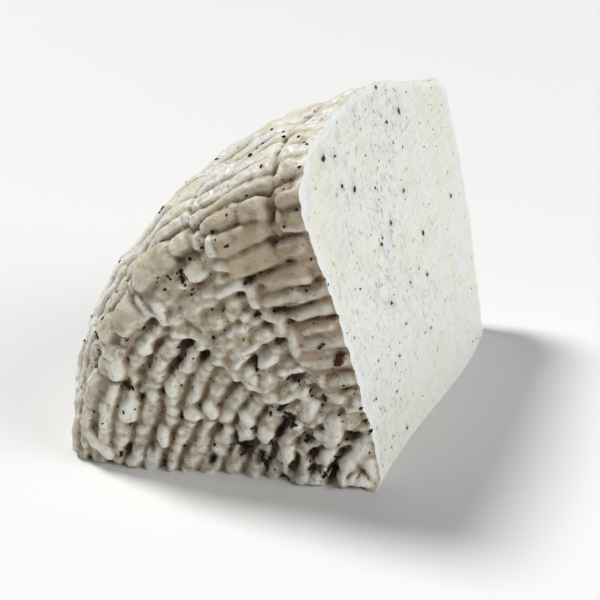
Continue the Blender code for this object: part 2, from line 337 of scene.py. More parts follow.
@dataclass(frozen=True)
class BasketPrint:
    """The print of the draining basket on the rind.

    A pair of lengths is a smooth step, from the first length to the second.

    Attributes:
        grooves: The rings' grooves along the slanted cut, from the tip to the rim, in millimetres.
        pitch: The distance from one groove to the next past these.
        groove_share: How wide the grooves are, and bead_power how steep the ridges' sides are.
        bar_share: The same for the short bars beside the slanted cut, with bar_power.
        foot_bow: How far the rings bow at the floor: everywhere, and most of all at one length.
        sector_shifts: How far the rings are shifted in each sector between two ribs.
        bead_lengths: The length of the ridges' beads in each sector.
        posts: The angles of the posts' channels over the rim and the wall, in degrees.
        bay_step: How far the hoops step at a post, as a share of the pitch.
        broken_start: Where the rings of the middle sector start to be broken up into curd.
        step_start: Where the low step past the first rib starts.
        edge_blend: How far from the slanted cut the print is flattened, in degrees.
        waxy_rise: The rise that a block is smooth and waxy from.
        shade: Painted shade in tan, over the rind's own tan, on the bars beside the slanted cut.
    """

    grooves: tuple[float, ...] = (
        3.0, 8.1, 12.3, 16.8, 20.7, 24.6, 28.2, 32.4, 36.3, 39.6, 43.4, 48.0, 52.8, 57.0, 61.5, 65.4,
    )
    pitch: float = 4.15 * MM
    ring_depth: float = 1.75 * MM
    block_depth: float = 1.05 * MM
    hoop_depth: float = 0.9 * MM
    groove_share: float = 1.14
    bead_power: float = 2.4
    bar_share: float = 1.0
    bar_power: float = 9.0
    rings_end: Span = (50.0 * MM, 56.0 * MM)
    rim_start: Span = (50.0 * MM, 55.0 * MM)
    rim_end: float = 66.0 * MM
    wall_blend: float = 4.0 * MM
    upper_blend: float = 9.0 * MM
    foot_bow: Span = (0.6 * MM, 1.6 * MM)
    foot_bow_length: float = 35.0 * MM
    foot_bow_spread: float = 13.0 * MM
    foot_bow_angle: float = 8.0
    sector_angle: float = math.radians(20.0)
    sector_shifts: tuple[float, ...] = (0.0, 1.5 * MM, -0.8 * MM, 0.0)
    sectors_start: Span = (16.0 * MM, 26.0 * MM)
    sector_blend: float = 0.012
    bead_lengths: tuple[float, ...] = (2.4 * MM, 2.2 * MM, 2.6 * MM, 8.0 * MM)
    posts: tuple[float, ...] = (13.0, 26.0, 39.5, 56.0, 72.3)
    post_width: float = 1.0 * MM
    post_depth: float = 0.8 * MM
    post_sharpness: float = 1.6
    bar_length: float = 7.5 * MM
    bar_step: float = 0.6
    bay_step: float = 0.4
    bays_start: Span = (52.0 * MM, 58.0 * MM)
    broken_start: Span = (24.0 * MM, 30.0 * MM)
    step_start: Span = (22.0 * MM, 32.0 * MM)
    calm_start: Span = (52.0 * MM, 60.0 * MM)
    blocks_start: Span = (50.0 * MM, 53.0 * MM)
    blocks_end: Span = (61.0 * MM, 65.0 * MM)
    pale_start: Span = (59.0 * MM, 67.5 * MM)
    edge_blend: float = 2.2
    least_reach: float = 4.0 * MM
    waxy_rise: float = 0.75
    least_stain: float = 0.12
    shade: Patch = Patch(71.0, 41.0, 11.5, 24.0)
    spines: tuple[Spine, ...] = (
        Spine(40.2, 15, 57, 0), Spine(61, 15, 50, 0.2),
    )
    blocks: tuple[Block, ...] = (
        Block(63.4, 60, 9, 3.6, 1.2), Block(68.9, 58.9, 5, 5, 1.9), Block(65.4, 55.6, 10, 4.4, 0.76),
        Block(64.3, 51, 9, 4.9, 1.2), Block(65.6, 63.3, 16, 2.4, 0.8), Block(75.6, 59.2, 4.6, 2.7, 0.9),
        Block(75.4, 55.8, 4.8, 3, 0.6), Block(73.6, 51, 5.6, 3.2, 0.5), Block(68.6, 45.8, 9.4, 3.6, 1),
        Block(53.9, 60.2, 3.6, 3.6, 1.2), Block(54, 54.2, 3.8, 4, 0.7), Block(47, 60.3, 9.8, 6.2, 1.2),
        Block(35.6, 57.4, 6, 5.2, 0.8), Block(31, 59.6, 5.2, 4.2, 0.8),
        Block(25.5, 56.6, 6.8, 3.4, 0.7), Block(11.5, 57.8, 16, 3, 0.7), Block(12, 53.6, 15, 2.6, 0.5),
        Block(5, 61.5, 8, 4, 0.6),
    )
    lumps: tuple[Lump, ...] = (
        Lump(60.1, 57.3, 59.6, 55.8, 2.3, 1.1), Lump(58.6, 52.8, 59.6, 52.2, 2.3, 1.1),
        Lump(59.6, 60.6, 59.6, 59.4, 1.4, 0.9), Lump(54.7, 48.6, 58.1, 48, 2.6, 1),
        Lump(58.1, 48, 60.6, 46.5, 2.1, 1), Lump(60.1, 46.2, 59.6, 43.5, 2.7, 1.1),
        Lump(59.1, 41.1, 61.5, 39.3, 1.8, 0.9), Lump(62.5, 39.3, 60.6, 36.3, 2.4, 1.1),
        Lump(63, 35.4, 61.5, 31.8, 2.4, 1.1), Lump(61.5, 29.4, 64.5, 27.6, 2.2, 0.8),
        Lump(62.5, 25.2, 62.5, 23.4, 2.2, 1), Lump(61.1, 21, 65.5, 19.5, 2.2, 1),
        Lump(68.9, 17.1, 77.7, 16.5, 1.9, 0.7), Lump(45.4, 45.9, 48.4, 44.7, 2.4, 0.9),
        Lump(49.3, 41.4, 52.8, 40.8, 2.3, 1), Lump(44, 41.7, 45.9, 40.5, 2.7, 1),
        Lump(54.7, 37.8, 57.2, 37.5, 2.6, 0.9), Lump(47.4, 38.1, 46.4, 36.9, 2.6, 0.9),
        Lump(39.6, 48.6, 40.1, 47.4, 2.3, 1.3), Lump(41, 52.5, 40.5, 51.3, 2.2, 1.1),
        Lump(50.3, 48.3, 45.9, 49.8, 2.1, 0.6), Lump(54.7, 42.6, 56.2, 41.4, 1.8, 0.6),
        Lump(51.8, 36.9, 48.8, 37.2, 1.8, 0.6), Lump(47.9, 50.7, 50.3, 49.8, 2.4, 0.6),
        Lump(43, 54.6, 42.5, 53.4, 2.1, 1.1), Lump(73.8, 54.3, 77.7, 53.7, 1.8, 0.8),
        Lump(65, 46.2, 72.3, 44.7, 2.9, 1.2), Lump(62.5, 42.9, 68.9, 42, 2.6, 1),
        Lump(70.8, 41.1, 76.2, 41.4, 2.4, 0.9), Lump(67.4, 38.1, 74.7, 38.1, 2.7, 1),
        Lump(67.9, 34.8, 74.2, 34.5, 2, 1), Lump(65.5, 32.1, 75.7, 30.9, 3, 1),
        Lump(64.5, 27.6, 74.7, 26.7, 3, 1), Lump(66.4, 23.4, 72.8, 22.8, 3.1, 1),
        Lump(73.8, 18.3, 77.7, 16.8, 2.2, 0.6), Lump(40.5, 43.8, 40.5, 43.2, 2.3, 1.3),
        Lump(40.1, 39.3, 40.1, 39, 2.3, 1.3), Lump(40.1, 35.1, 39.6, 34.5, 2, 1.1),
        Lump(43, 32.4, 40.5, 30.9, 1.9, 1), Lump(40.1, 27.6, 40.1, 27.3, 2.6, 1.1),
        Lump(20.5, 38.4, 20.5, 37.2, 2.5, 1), Lump(21.5, 46.5, 21, 45.9, 2.3, 1),
        Lump(16.6, 49.8, 14.2, 49.5, 3.7, 1.2), Lump(26.4, 56.1, 23.9, 54, 3.5, 1.2),
        Lump(32.7, 51.9, 31.8, 51.3, 2.8, 1), Lump(26.9, 43.8, 25.4, 43.2, 2.8, 1),
        Lump(30.3, 47.4, 29.8, 47.1, 2, 0.8), Lump(47.9, 45.9, 47.4, 44.7, 2.3, 0.9),
        Lump(20.5, 57.9, 19.1, 58.2, 2.7, 0.9), Lump(14.7, 54.3, 9.8, 53.4, 2.3, 1),
        Lump(7.3, 57, 3.4, 52.5, 2.7, 1), Lump(12.2, 42.3, 8.8, 41.7, 2.5, 1.2),
        Lump(2.9, 46.2, 1.5, 48, 2, 0.9), Lump(3.9, 43.8, 1, 43.8, 2.8, 0.9),
        Lump(25.4, 36, 23.4, 34.2, 2, 0.9), Lump(4.4, 14.1, 6.4, 11.1, 2.2, 1.3),
        Lump(15.1, 6.6, 25.9, 1.8, 2, 1.2), Lump(17.1, 10.2, 15.1, 9.9, 1.9, 1),
        Lump(17.1, 7.8, 20, 6.9, 1.3, 0.9), Lump(20.5, 18.6, 9.3, 16.8, 2.6, 1.1),
        Lump(55.7, 15.6, 48.4, 13.5, 4.1, 1), Lump(41, 15.9, 43.5, 14.4, 1.9, 0.9),
        Lump(49.8, 21, 45.9, 19.8, 3.3, 0.8), Lump(59.1, 8.4, 40.5, 7.2, 4.1, 0.7),
        Lump(63, 4.8, 54.7, 1.8, 2.2, 1), Lump(31.3, 11.4, 29.8, 10.5, 3.3, 0.9),
        Lump(38.1, 21.6, 37.1, 19.5, 2.2, 0.9), Lump(23.9, 24, 23, 23.1, 3, 1),
        Lump(27.8, 28.8, 25.9, 27.6, 2.6, 0.9), Lump(20, 27.3, 18.1, 26.7, 3, 1),
        Lump(50.8, 22.5, 52.3, 21, 2.2, 0.6), Lump(49.3, 33.6, 52.3, 33, 2.6, 0.9),
        Lump(54.2, 37.5, 56.2, 36.9, 3, 0.8), Lump(52.8, 29.7, 57.6, 28.5, 2.2, 0.9),
        Lump(52.3, 24, 44, 24.9, 2.2, 0.7), Lump(50.8, 41.4, 52.3, 40.2, 2.6, 0.9),
        Lump(45.4, 41.1, 45.4, 40.8, 3.3, 1), Lump(45.4, 37.8, 44.5, 36.9, 2.6, 0.9),
    )
    stains: tuple[Patch, ...] = (
        Patch(16, 24, 16, 9), Patch(36, 22, 9, 5), Patch(24, 12, 16, 5), Patch(56, 27, 6, 3),
        Patch(60, 12, 8, 3), Patch(38, 44, 5, 5), Patch(21, 51, 3, 3), Patch(51, 55, 3, 3),
        Patch(33, 48, 8, 7),
    )
    pits: tuple[Pit, ...] = (
        Pit(38.1, 45.6, 2.5, 2.6), Pit(38.6, 41.9, 2.3, 2.8), Pit(32.2, 45, 1.7, 1.2),
        Pit(39.1, 52.2, 3, 0.8), Pit(21, 51.3, 2.3, 1.2), Pit(47.4, 34.8, 1.9, 2.1),
        Pit(20, 47.7, 1.7, 1), Pit(19.5, 43.8, 2, 0.9), Pit(19.1, 39.9, 2, 0.9),
        Pit(18.6, 35.4, 2, 0.9), Pit(4.4, 48.6, 2, 1.2), Pit(5.4, 43.8, 2, 0.9),
        Pit(5.1, 31.8, 2.1, 2.3), Pit(12, 26.4, 2.8, 3), Pit(65, 37.5, 1.7, 1.9),
        Pit(63.5, 40.5, 1.9, 1.2), Pit(58.1, 35.1, 2.2, 1.4), Pit(58.6, 41.1, 1.9, 0.7),
        Pit(54.7, 27, 3, 1.2), Pit(59.6, 21, 1.7, 1.4), Pit(40.1, 24.3, 1.9, 1.4),
        Pit(38.1, 21.6, 2.2, 1.4), Pit(27.8, 21.3, 2.2, 1.6), Pit(11.2, 22.8, 3, 1.5),
        Pit(25.4, 14.4, 1.7, 1.7), Pit(11.7, 16.2, 2.6, 1.9), Pit(26.4, 9.6, 1.9, 2),
        Pit(43.5, 9.9, 2.2, 1.8), Pit(59.1, 11.1, 2.2, 1.6), Pit(34.7, 16.2, 2.6, 1.2),
        Pit(37.1, 33.6, 1.9, 0.9), Pit(17.6, 32.1, 2.2, 1.2), Pit(57.6, 22.5, 2.2, 0.9),
        Pit(64, 32.7, 1.9, 0.8), Pit(61.1, 48, 1.4, 2), Pit(57.6, 46.2, 1.5, 1.3),
        Pit(58.1, 50.7, 1.5, 0.9), Pit(59.1, 58.8, 1.4, 1), Pit(61.1, 58.8, 1.1, 0.8),
        Pit(50.8, 55.2, 1.5, 1), Pit(38.6, 53.4, 2.1, 1.2), Pit(39.1, 50.1, 1.5, 0.9),
        Pit(59.1, 39, 1.8, 1.2), Pit(57.6, 41.7, 1.5, 1), Pit(64.5, 40.2, 1.8, 1),
        Pit(63, 45.6, 1.4, 1), Pit(71.3, 48.3, 1.5, 0.8), Pit(10.5, 12.6, 1.3, 1.2),
        Pit(17, 11.6, 1.2, 1.4), Pit(19.5, 8.6, 1.1, 1.4), Pit(11, 8.8, 1.5, 1.6), Pit(24, 6, 1.1, 1.3),
        Pit(29, 4.3, 1.1, 1.2),
    )


WHEEL = Wheel()


@dataclass(frozen=True)
class RindPoints:
    """Points of the rind, with what every part of the relief reads.

    Attributes:
        length: Their lengths along the rind, and seen the lengths that they move to.
        degrees: Their angles from the cut on the floor.
        reach: Their reach from the tip edge, and no less than the print's least reach.
        mid: Noise in lumps of about 5 mm.
        small: Noise in lumps of about 3 mm, and other more of that, in other places.
    """

    length: Array
    seen: Array
    degrees: Array
    reach: Array
    mid: Array
    small: Array
    other: Array

    def sideways(self, angle: float) -> Array:
        """How far along its ring each point is past this angle."""
        return (self.degrees - angle) * math.radians(1.0) * self.reach


class Rind:
    """The printed rind: where each of its points lies, and how deep in the print it is."""

    def __init__(self, wheel: Wheel, basket: BasketPrint) -> None:
        """Keeps the wheel and its print."""
        self.wheel = wheel
        self.basket = basket
        count = int(wheel.profile_length / basket.pitch)
        grooves = [length * MM for length in basket.grooves]
        while len(grooves) < count:
            grooves.append(grooves[-1] + basket.pitch)
        self.grooves = np.array([grooves[0] - basket.pitch] + grooves + [grooves[-1] + basket.pitch])

    def past_rings(self, length: Array) -> Array:
        """0 on the ringed face and 1 from the rim on."""
        return smooth_step(length, *self.basket.rings_end)

    def past_wall(self, length: Array) -> Array:
        """0 up to the wall's far end and 1 on the upper face."""
        return smooth_step(length, self.wheel.upper_start - self.basket.upper_blend, self.wheel.upper_start)

    def ring_place(self, length: Array, angle: Array) -> Array:
        """Counts rings from the tip: a whole number is a groove, and its fraction the place on a ridge."""
        basket = self.basket
        on_rings = 1.0 - self.past_rings(length)
        least, most = basket.foot_bow
        away = (length - basket.foot_bow_length) / basket.foot_bow_spread
        bowed = least + most * np.exp(-(away**2))
        shift = bowed * np.exp(-np.degrees(angle) / basket.foot_bow_angle) * on_rings
        stepped = on_rings * (0.35 + 0.65 * smooth_step(length, *basket.sectors_start))
        for number, (before, after) in enumerate(zip(basket.sector_shifts, basket.sector_shifts[1:]), 1):
            rib, blend = number * basket.sector_angle, basket.sector_blend
            shift = shift + stepped * (after - before) * smooth_step(angle, rib - blend, rib + blend)
        return np.interp(length - shift, self.grooves, np.arange(len(self.grooves)) - 1.0)

    def post_lines(self, length: Array, angle: Array) -> Array:
        """1 in the channels that the basket's posts left over the rim and the wall, 0 away from them."""
        lines = np.zeros_like(length)
        for post in self.basket.posts:
            away = (angle - math.radians(post)) * self.wheel.radius / self.basket.post_width
            lines = np.maximum(lines, np.exp(-((self.basket.post_sharpness * away) ** 2)))
        return lines * self.past_rings(length) * (1.0 - self.past_wall(length))

    def bay_shift(self, length: Array, angle: Array) -> Array:
        """How far the hoops step sideways from one bay to the next, past each post."""
        half = 0.5 * self.basket.post_width / self.wheel.radius
        shift = np.zeros_like(length)
        for number, post in enumerate(self.basket.posts):
            side = 1.0 if number % 2 == 0 else -1.0
            middle = math.radians(post)
            shift = shift + side * smooth_step(angle, middle - half, middle + half)
        past_rings = smooth_step(length, *self.basket.bays_start)
        return self.basket.bay_step * self.basket.pitch * shift * past_rings * (1.0 - self.past_wall(length))

    def cords(self, ring: Array, across: Array, angle: Array) -> Array:
        """The beaded ridges between the rings' grooves: from 0 in the grooves to about 1 on the ridges' tops.

        Args:
            ring: Each point's ridge, counted from the tip.
            across: Its place across the ridge, from -1 to 1.
            angle: Its angle from the cut on the floor, in radians.

        Returns:
            The heights as shares of the rings' depth.
        """
        basket = self.basket
        last = len(basket.bead_lengths) - 1
        sector = np.clip(np.floor(angle / basket.sector_angle), 0, last)
        bead_length = np.array(basket.bead_lengths)[sector.astype(int)]
        bead_length = bead_length * (0.8 + 0.5 * scatter_number(5, ring, sector))
        numbers = np.arange(len(self.grooves))
        middle = np.interp(np.clip(ring, 0, len(self.grooves) - 2) + 1.5, numbers, self.grooves)
        beads = angle * middle / bead_length + scatter_number(7, ring, sector)
        bead = np.floor(beads)
        along = 2.0 * (beads - bead) - 1.0
        side = 0.3 * (scatter_number(11, ring, bead, sector) - 0.5)
        tall = scatter_number(13, ring, bead, sector) - 0.5
        bars = sector == last
        split = np.where(bars, 0.08, 0.06 + 0.30 * scatter_number(17, ring, bead, sector))
        share = np.where(bars, basket.bar_share, basket.groove_share)
        power = np.where(bars, basket.bar_power, basket.bead_power)
        edge = np.abs(share * (across + side * (1.0 - along**2)))
        ridge = np.clip(1.0 - edge**power, 0.0, 1.0) ** 0.8
        return ridge * (0.95 + 0.35 * tall * (1.0 - along**2) - split * along**4)

    def hoops(self, ring: Array, across: Array, angle: Array) -> Array:
        """The bars between the hoops' grooves over the rim and the wall, as shares of the grooves' depth."""
        basket = self.basket
        along = angle * self.wheel.radius / basket.bar_length + scatter_number(23, ring)
        bar = np.floor(along)
        end = np.abs(2.0 * (along - bar) - 1.0)
        tall = scatter_number(29, ring, bar) - 0.5
        rise = smooth_step(across, -1.0, -0.7) * (1.0 - 0.7 * smooth_step(across, 0.3, 1.0))
        return rise * (1.0 + basket.bar_step * tall - 0.3 * smooth_step(end, 0.82, 1.0))

    def relief(self, length: Array, angle: Array, place: Array) -> tuple[Array, dict[str, Array]]:
        """The print's height over the smooth wheel.

        Args:
            length: Lengths along the rind.
            angle: Angles from the cut on the floor, in radians.
            place: The same points on the smooth wheel.

        Returns:
            The heights, and by name what the rind's finish reads: wax is 1 on the smooth
            blocks, knob on the tops of the lumps, pit in the crevices, and wall past the
            blocks of the rim.
        """
        basket, wheel = self.basket, self.wheel
        at = RindPoints(
            length=length,
            seen=self.moved(length, angle),
            degrees=np.degrees(angle),
            reach=np.maximum(wheel.smooth_point(length, angle)[..., 0], basket.least_reach),
            mid=lumps(place, 4.8 * MM, (7.0, 3.0, 5.0)),
            small=lumps(place, 2.6 * MM, (4.0, 1.0, 8.0)),
            other=lumps(place, 2.6 * MM, (9.0, 5.0, 2.0)),
        )
        on_wall = smooth_step(length, basket.rim_end - basket.wall_blend, basket.rim_end + basket.wall_blend)
        height = self.ridges(at, angle, place, on_wall)
        height = self.ribs(at, height)

        zone = plateau(length, basket.blocks_start, basket.blocks_end)
        sunk = height - 0.55 * MM * zone
        height = np.maximum(sunk, -1.2 * MM * zone - 4.0 * MM * (1.0 - zone))
        height, wax = self.block_tops(at, height)
        height, knob = self.lump_tops(at, height)
        height, pit = self.crevices(at, height)

        height = height - basket.post_depth * (1.0 - 0.6 * zone) * self.post_lines(length, angle)
        grain = lumps(place, 1.35 * MM, (2.0, 6.0, 1.0))
        fine = lumps(place, 0.8 * MM, (5.0, 2.0, 7.0))
        grain = 0.25 * at.small + (0.26 * grain + 0.18 * fine) * (1.0 - 0.25 * wax)
        height = height + MM * grain * (1.0 - 0.4 * on_wall)
        from_cut = np.degrees(wheel.wedge_angle) - at.degrees
        cut_edge = 0.35 + 0.65 * smooth_step(from_cut, 0.0, basket.edge_blend)
        height = cut_edge * height + MM * (1.1 * (lumps(place, 9.5 * MM) - 0.1) + 0.5 * at.mid)
        return height, {"wax": wax, "knob": knob, "pit": pit, "wall": smooth_step(length, *basket.pale_start)}

    def ridges(self, at: RindPoints, angle: Array, place: Array, on_wall: Array) -> Array:
        """The rings, blocks and hoops that the basket leaves everywhere, and the bumps of curd on them."""
        basket = self.basket
        rings = self.ring_place(at.length + 0.32 * MM * at.small, angle)
        ring = np.floor(rings)
        across = 2.0 * (rings - ring) - 1.0
        warped = angle + 0.5 * MM * at.other / at.reach
        on_rim = smooth_step(at.length, *basket.rim_start)
        broken = plateau(at.degrees, (40.5, 42.0), (57.0, 60.0))
        broken = broken * smooth_step(at.length, *basket.broken_start) * (1.0 - on_rim)
        wall_place = np.stack([angle * self.wheel.radius / (7.0 * MM), ring * 3.17, ring * 1.9], axis=-1)

        cords = self.cords(ring, across, warped) * (1.0 - on_rim)
        cords = cords + self.hoops(ring, across, angle) * on_rim
        depth = basket.ring_depth * (1.0 - on_rim) + basket.block_depth * on_rim * (1.0 - on_wall)
        depth = depth + basket.hoop_depth * on_wall
        depth = depth * (1.0 - 0.6 * broken) * (0.95 + 0.4 * at.mid + 0.4 * at.other)
        height = depth * (cords - 1.0)
        height = height + 0.35 * MM * lumps(wall_place, 1.0) * on_rim * (1.0 - self.past_wall(at.length))

        bumpy = (0.35 + 1.25 * broken) * (1.0 - 0.45 * on_rim)
        bumpy = bumpy * (1.0 - 0.5 * smooth_step(at.degrees, 60.0, 64.0))
        height = height + MM * bumpy * (pebbles(place, 2.7 * MM, 3) - 0.7)
        return height + MM * (0.45 - 0.20 * on_rim) * (pebbles(place, 1.5 * MM, 9) - 0.7)

    def ribs(self, at: RindPoints, height: Array) -> Array:
        """Adds the two radial ribs' raised lines, and the low step past the first of them."""
        for rib in self.basket.spines:
            away = (at.sideways(rib.angle) + 0.7 * MM * at.mid) / (rib.width * MM)
            start, end = rib.start * MM, rib.end * MM
            share = plateau(at.seen, (start, start + 5.0 * MM), (end - 4.0 * MM, end))
            line = np.exp(-(away**2)) * share
            height = np.maximum(height, MM * (rib.rise + 0.9 * at.other) * line - 1.6 * MM * (1.0 - line))
        step = plateau(at.degrees, (39.0, 41.0), (41.0, 58.0))
        step = step * plateau(at.length, self.basket.step_start, self.basket.bays_start)
        return height + 0.7 * MM * step

    def block_tops(self, at: RindPoints, height: Array) -> tuple[Array, Array]:
        """Adds the print's thick blocks. Returns the height, and 1 where a block is smooth and waxy."""
        wax = np.zeros_like(height)
        for block in self.basket.blocks:
            sideways = np.abs(at.sideways(block.angle)) / (0.5 * block.across * MM)
            lengthwise = np.abs(at.seen - block.length * MM + 0.2 * MM * at.mid) / (0.5 * block.along * MM)
            out = (sideways**3.5 + lengthwise**3.5) ** (1.0 / 3.5)
            out = np.maximum(out + 0.08 * at.small, 0.0)
            dome = np.clip(1.0 - out**6.0, 0.0, 1.0) ** 0.6
            inside = smooth_step(1.0 - out, -0.04, 0.06)
            waxy = inside if block.rise > self.basket.waxy_rise else 0.3 * inside
            wax = np.maximum(wax, waxy)
            top = MM * (block.rise * 0.6 + 0.25 * at.mid + 0.25 * at.other + 0.15 * at.small)
            raised = np.maximum(height * (1.0 - inside), (top + 1.0 * MM) * dome - 1.0 * MM)
            height = np.where(out < 1.0, raised, height)
        return height, wax

    def lump_tops(self, at: RindPoints, height: Array) -> tuple[Array, Array]:
        """Adds the lumps of curd. Returns the height, and 1 on their tops."""
        knob = np.zeros_like(height)
        for lump in self.basket.lumps:
            lumpy = self.lump_height(lump, at)
            top = smooth_step(lumpy - height, 0.0, 0.7 * MM) * smooth_step(lumpy, -0.6 * MM, 0.5 * MM)
            knob = np.maximum(knob, top)
            height = np.maximum(height, lumpy)
        return height, knob

    def lump_height(self, lump: Lump, at: RindPoints) -> Array:
        """One lump's own height, and far below the rind away from it."""
        mean_reach = 0.5 * (lump.length + lump.end_length) * MM
        mean_reach = min(mean_reach, self.wheel.lower_flat + 10.0 * MM)
        across = at.sideways(lump.angle) + 0.35 * MM * at.small
        along = at.seen - lump.length * MM + 0.35 * MM * at.other
        side = (lump.end_angle - lump.angle) * math.radians(1.0) * mean_reach
        run = (lump.end_length - lump.length) * MM
        size = max(side**2 + run**2, 1e-12)
        share = np.clip((across * side + along * run) / size, 0.0, 1.0)
        away = np.hypot(across - share * side, along - share * run) / (0.55 * lump.width * MM)
        dome = np.clip(1.0 - away**2.5, 0.0, 1.0) ** 0.6
        base = 1.2 * MM
        return np.where(away < 1.0, (0.7 * lump.rise * MM + base) * dome - base, -1.0)

    def crevices(self, at: RindPoints, height: Array) -> tuple[Array, Array]:
        """Sinks the deep pits. Returns the height, and up to 1 in the pits."""
        pit = np.zeros_like(height)
        for hole in self.basket.pits:
            sideways = at.sideways(hole.angle)
            lengthwise = at.seen - hole.length * MM + 0.12 * sideways
            away = np.hypot(0.62 * sideways + 0.4 * MM * at.small, 1.1 * lengthwise + 0.4 * MM * at.other)
            height = height - 0.75 * hole.depth * MM * np.exp(-((away / (0.42 * hole.width * MM)) ** 2))
            dark = np.exp(-((away / (0.5 * hole.width * MM)) ** 2))
            pit = np.maximum(pit, min(hole.depth, 1.5) / 1.5 * dark)
        return height, pit

    def fade(self, length: Array) -> Array:
        """0 at the tip edge's two ends and 1 away from them."""
        return smooth_step(np.minimum(length, self.wheel.profile_length - length), 0.0, 3.5 * MM)

    def moved(self, length: Array, angle: Array) -> Array:
        """The lengths that points move to, so that the rings and hoops wander a little."""
        smooth = self.wheel.in_space(self.wheel.smooth_point(length, angle), angle)
        wander = 0.5 * lumps(smooth, 9.5 * MM, (1.5, 9.0, 4.0))
        wander = wander + 0.35 * lumps(smooth, 3.6 * MM, (3.0, 2.0, 9.0))
        wander = wander * (1.0 - 0.65 * smooth_step(length, *self.basket.calm_start))
        moved = length + self.fade(length) * MM * wander + self.bay_shift(length, angle)
        return np.clip(moved, 0.0, self.wheel.profile_length)

    def stain(self, length: Array, angle: Array) -> Array:
        """How much spice settled on the rind, from 0 to 1: most of it low on the ringed face."""
        degrees, millimetres = np.degrees(angle), length / MM
        stain = np.full(len(length), self.basket.least_stain)
        for centre in self.basket.stains:
            across = (degrees - centre.angle) / centre.wide
            along = (millimetres - centre.length) / centre.high
            stain = np.maximum(stain, np.exp(-(across**2 + along**2)))
        return stain

    def shade(self, length: Array, angle: Array) -> Array:
        """Painted shade over the rind's own tan, from 0 to 1: on the short bars beside the slanted cut."""
        middle = self.basket.shade
        across = (np.degrees(angle) - middle.angle) / middle.wide
        along = (length / MM - middle.length) / middle.high
        return np.exp(-(across**4) - along**4)

    def points(self, length: Array, angle: Array, height: Array) -> Array:
        """Places of the printed rind. The relief stays in the plane through the tip edge."""
        wheel = self.wheel
        step = 1.2 * MM
        moved = self.moved(length, angle)
        before = wheel.smooth_point(np.maximum(moved - step, 0.0), angle)
        after = wheel.smooth_point(np.minimum(moved + step, wheel.profile_length), angle)
        along = after - before
        along = along / np.linalg.norm(along, axis=-1, keepdims=True)
        outward = np.stack([along[..., 1], -along[..., 0]], axis=-1)
        point = wheel.smooth_point(moved, angle) + height[..., None] * outward
        return wheel.in_space(point, angle)


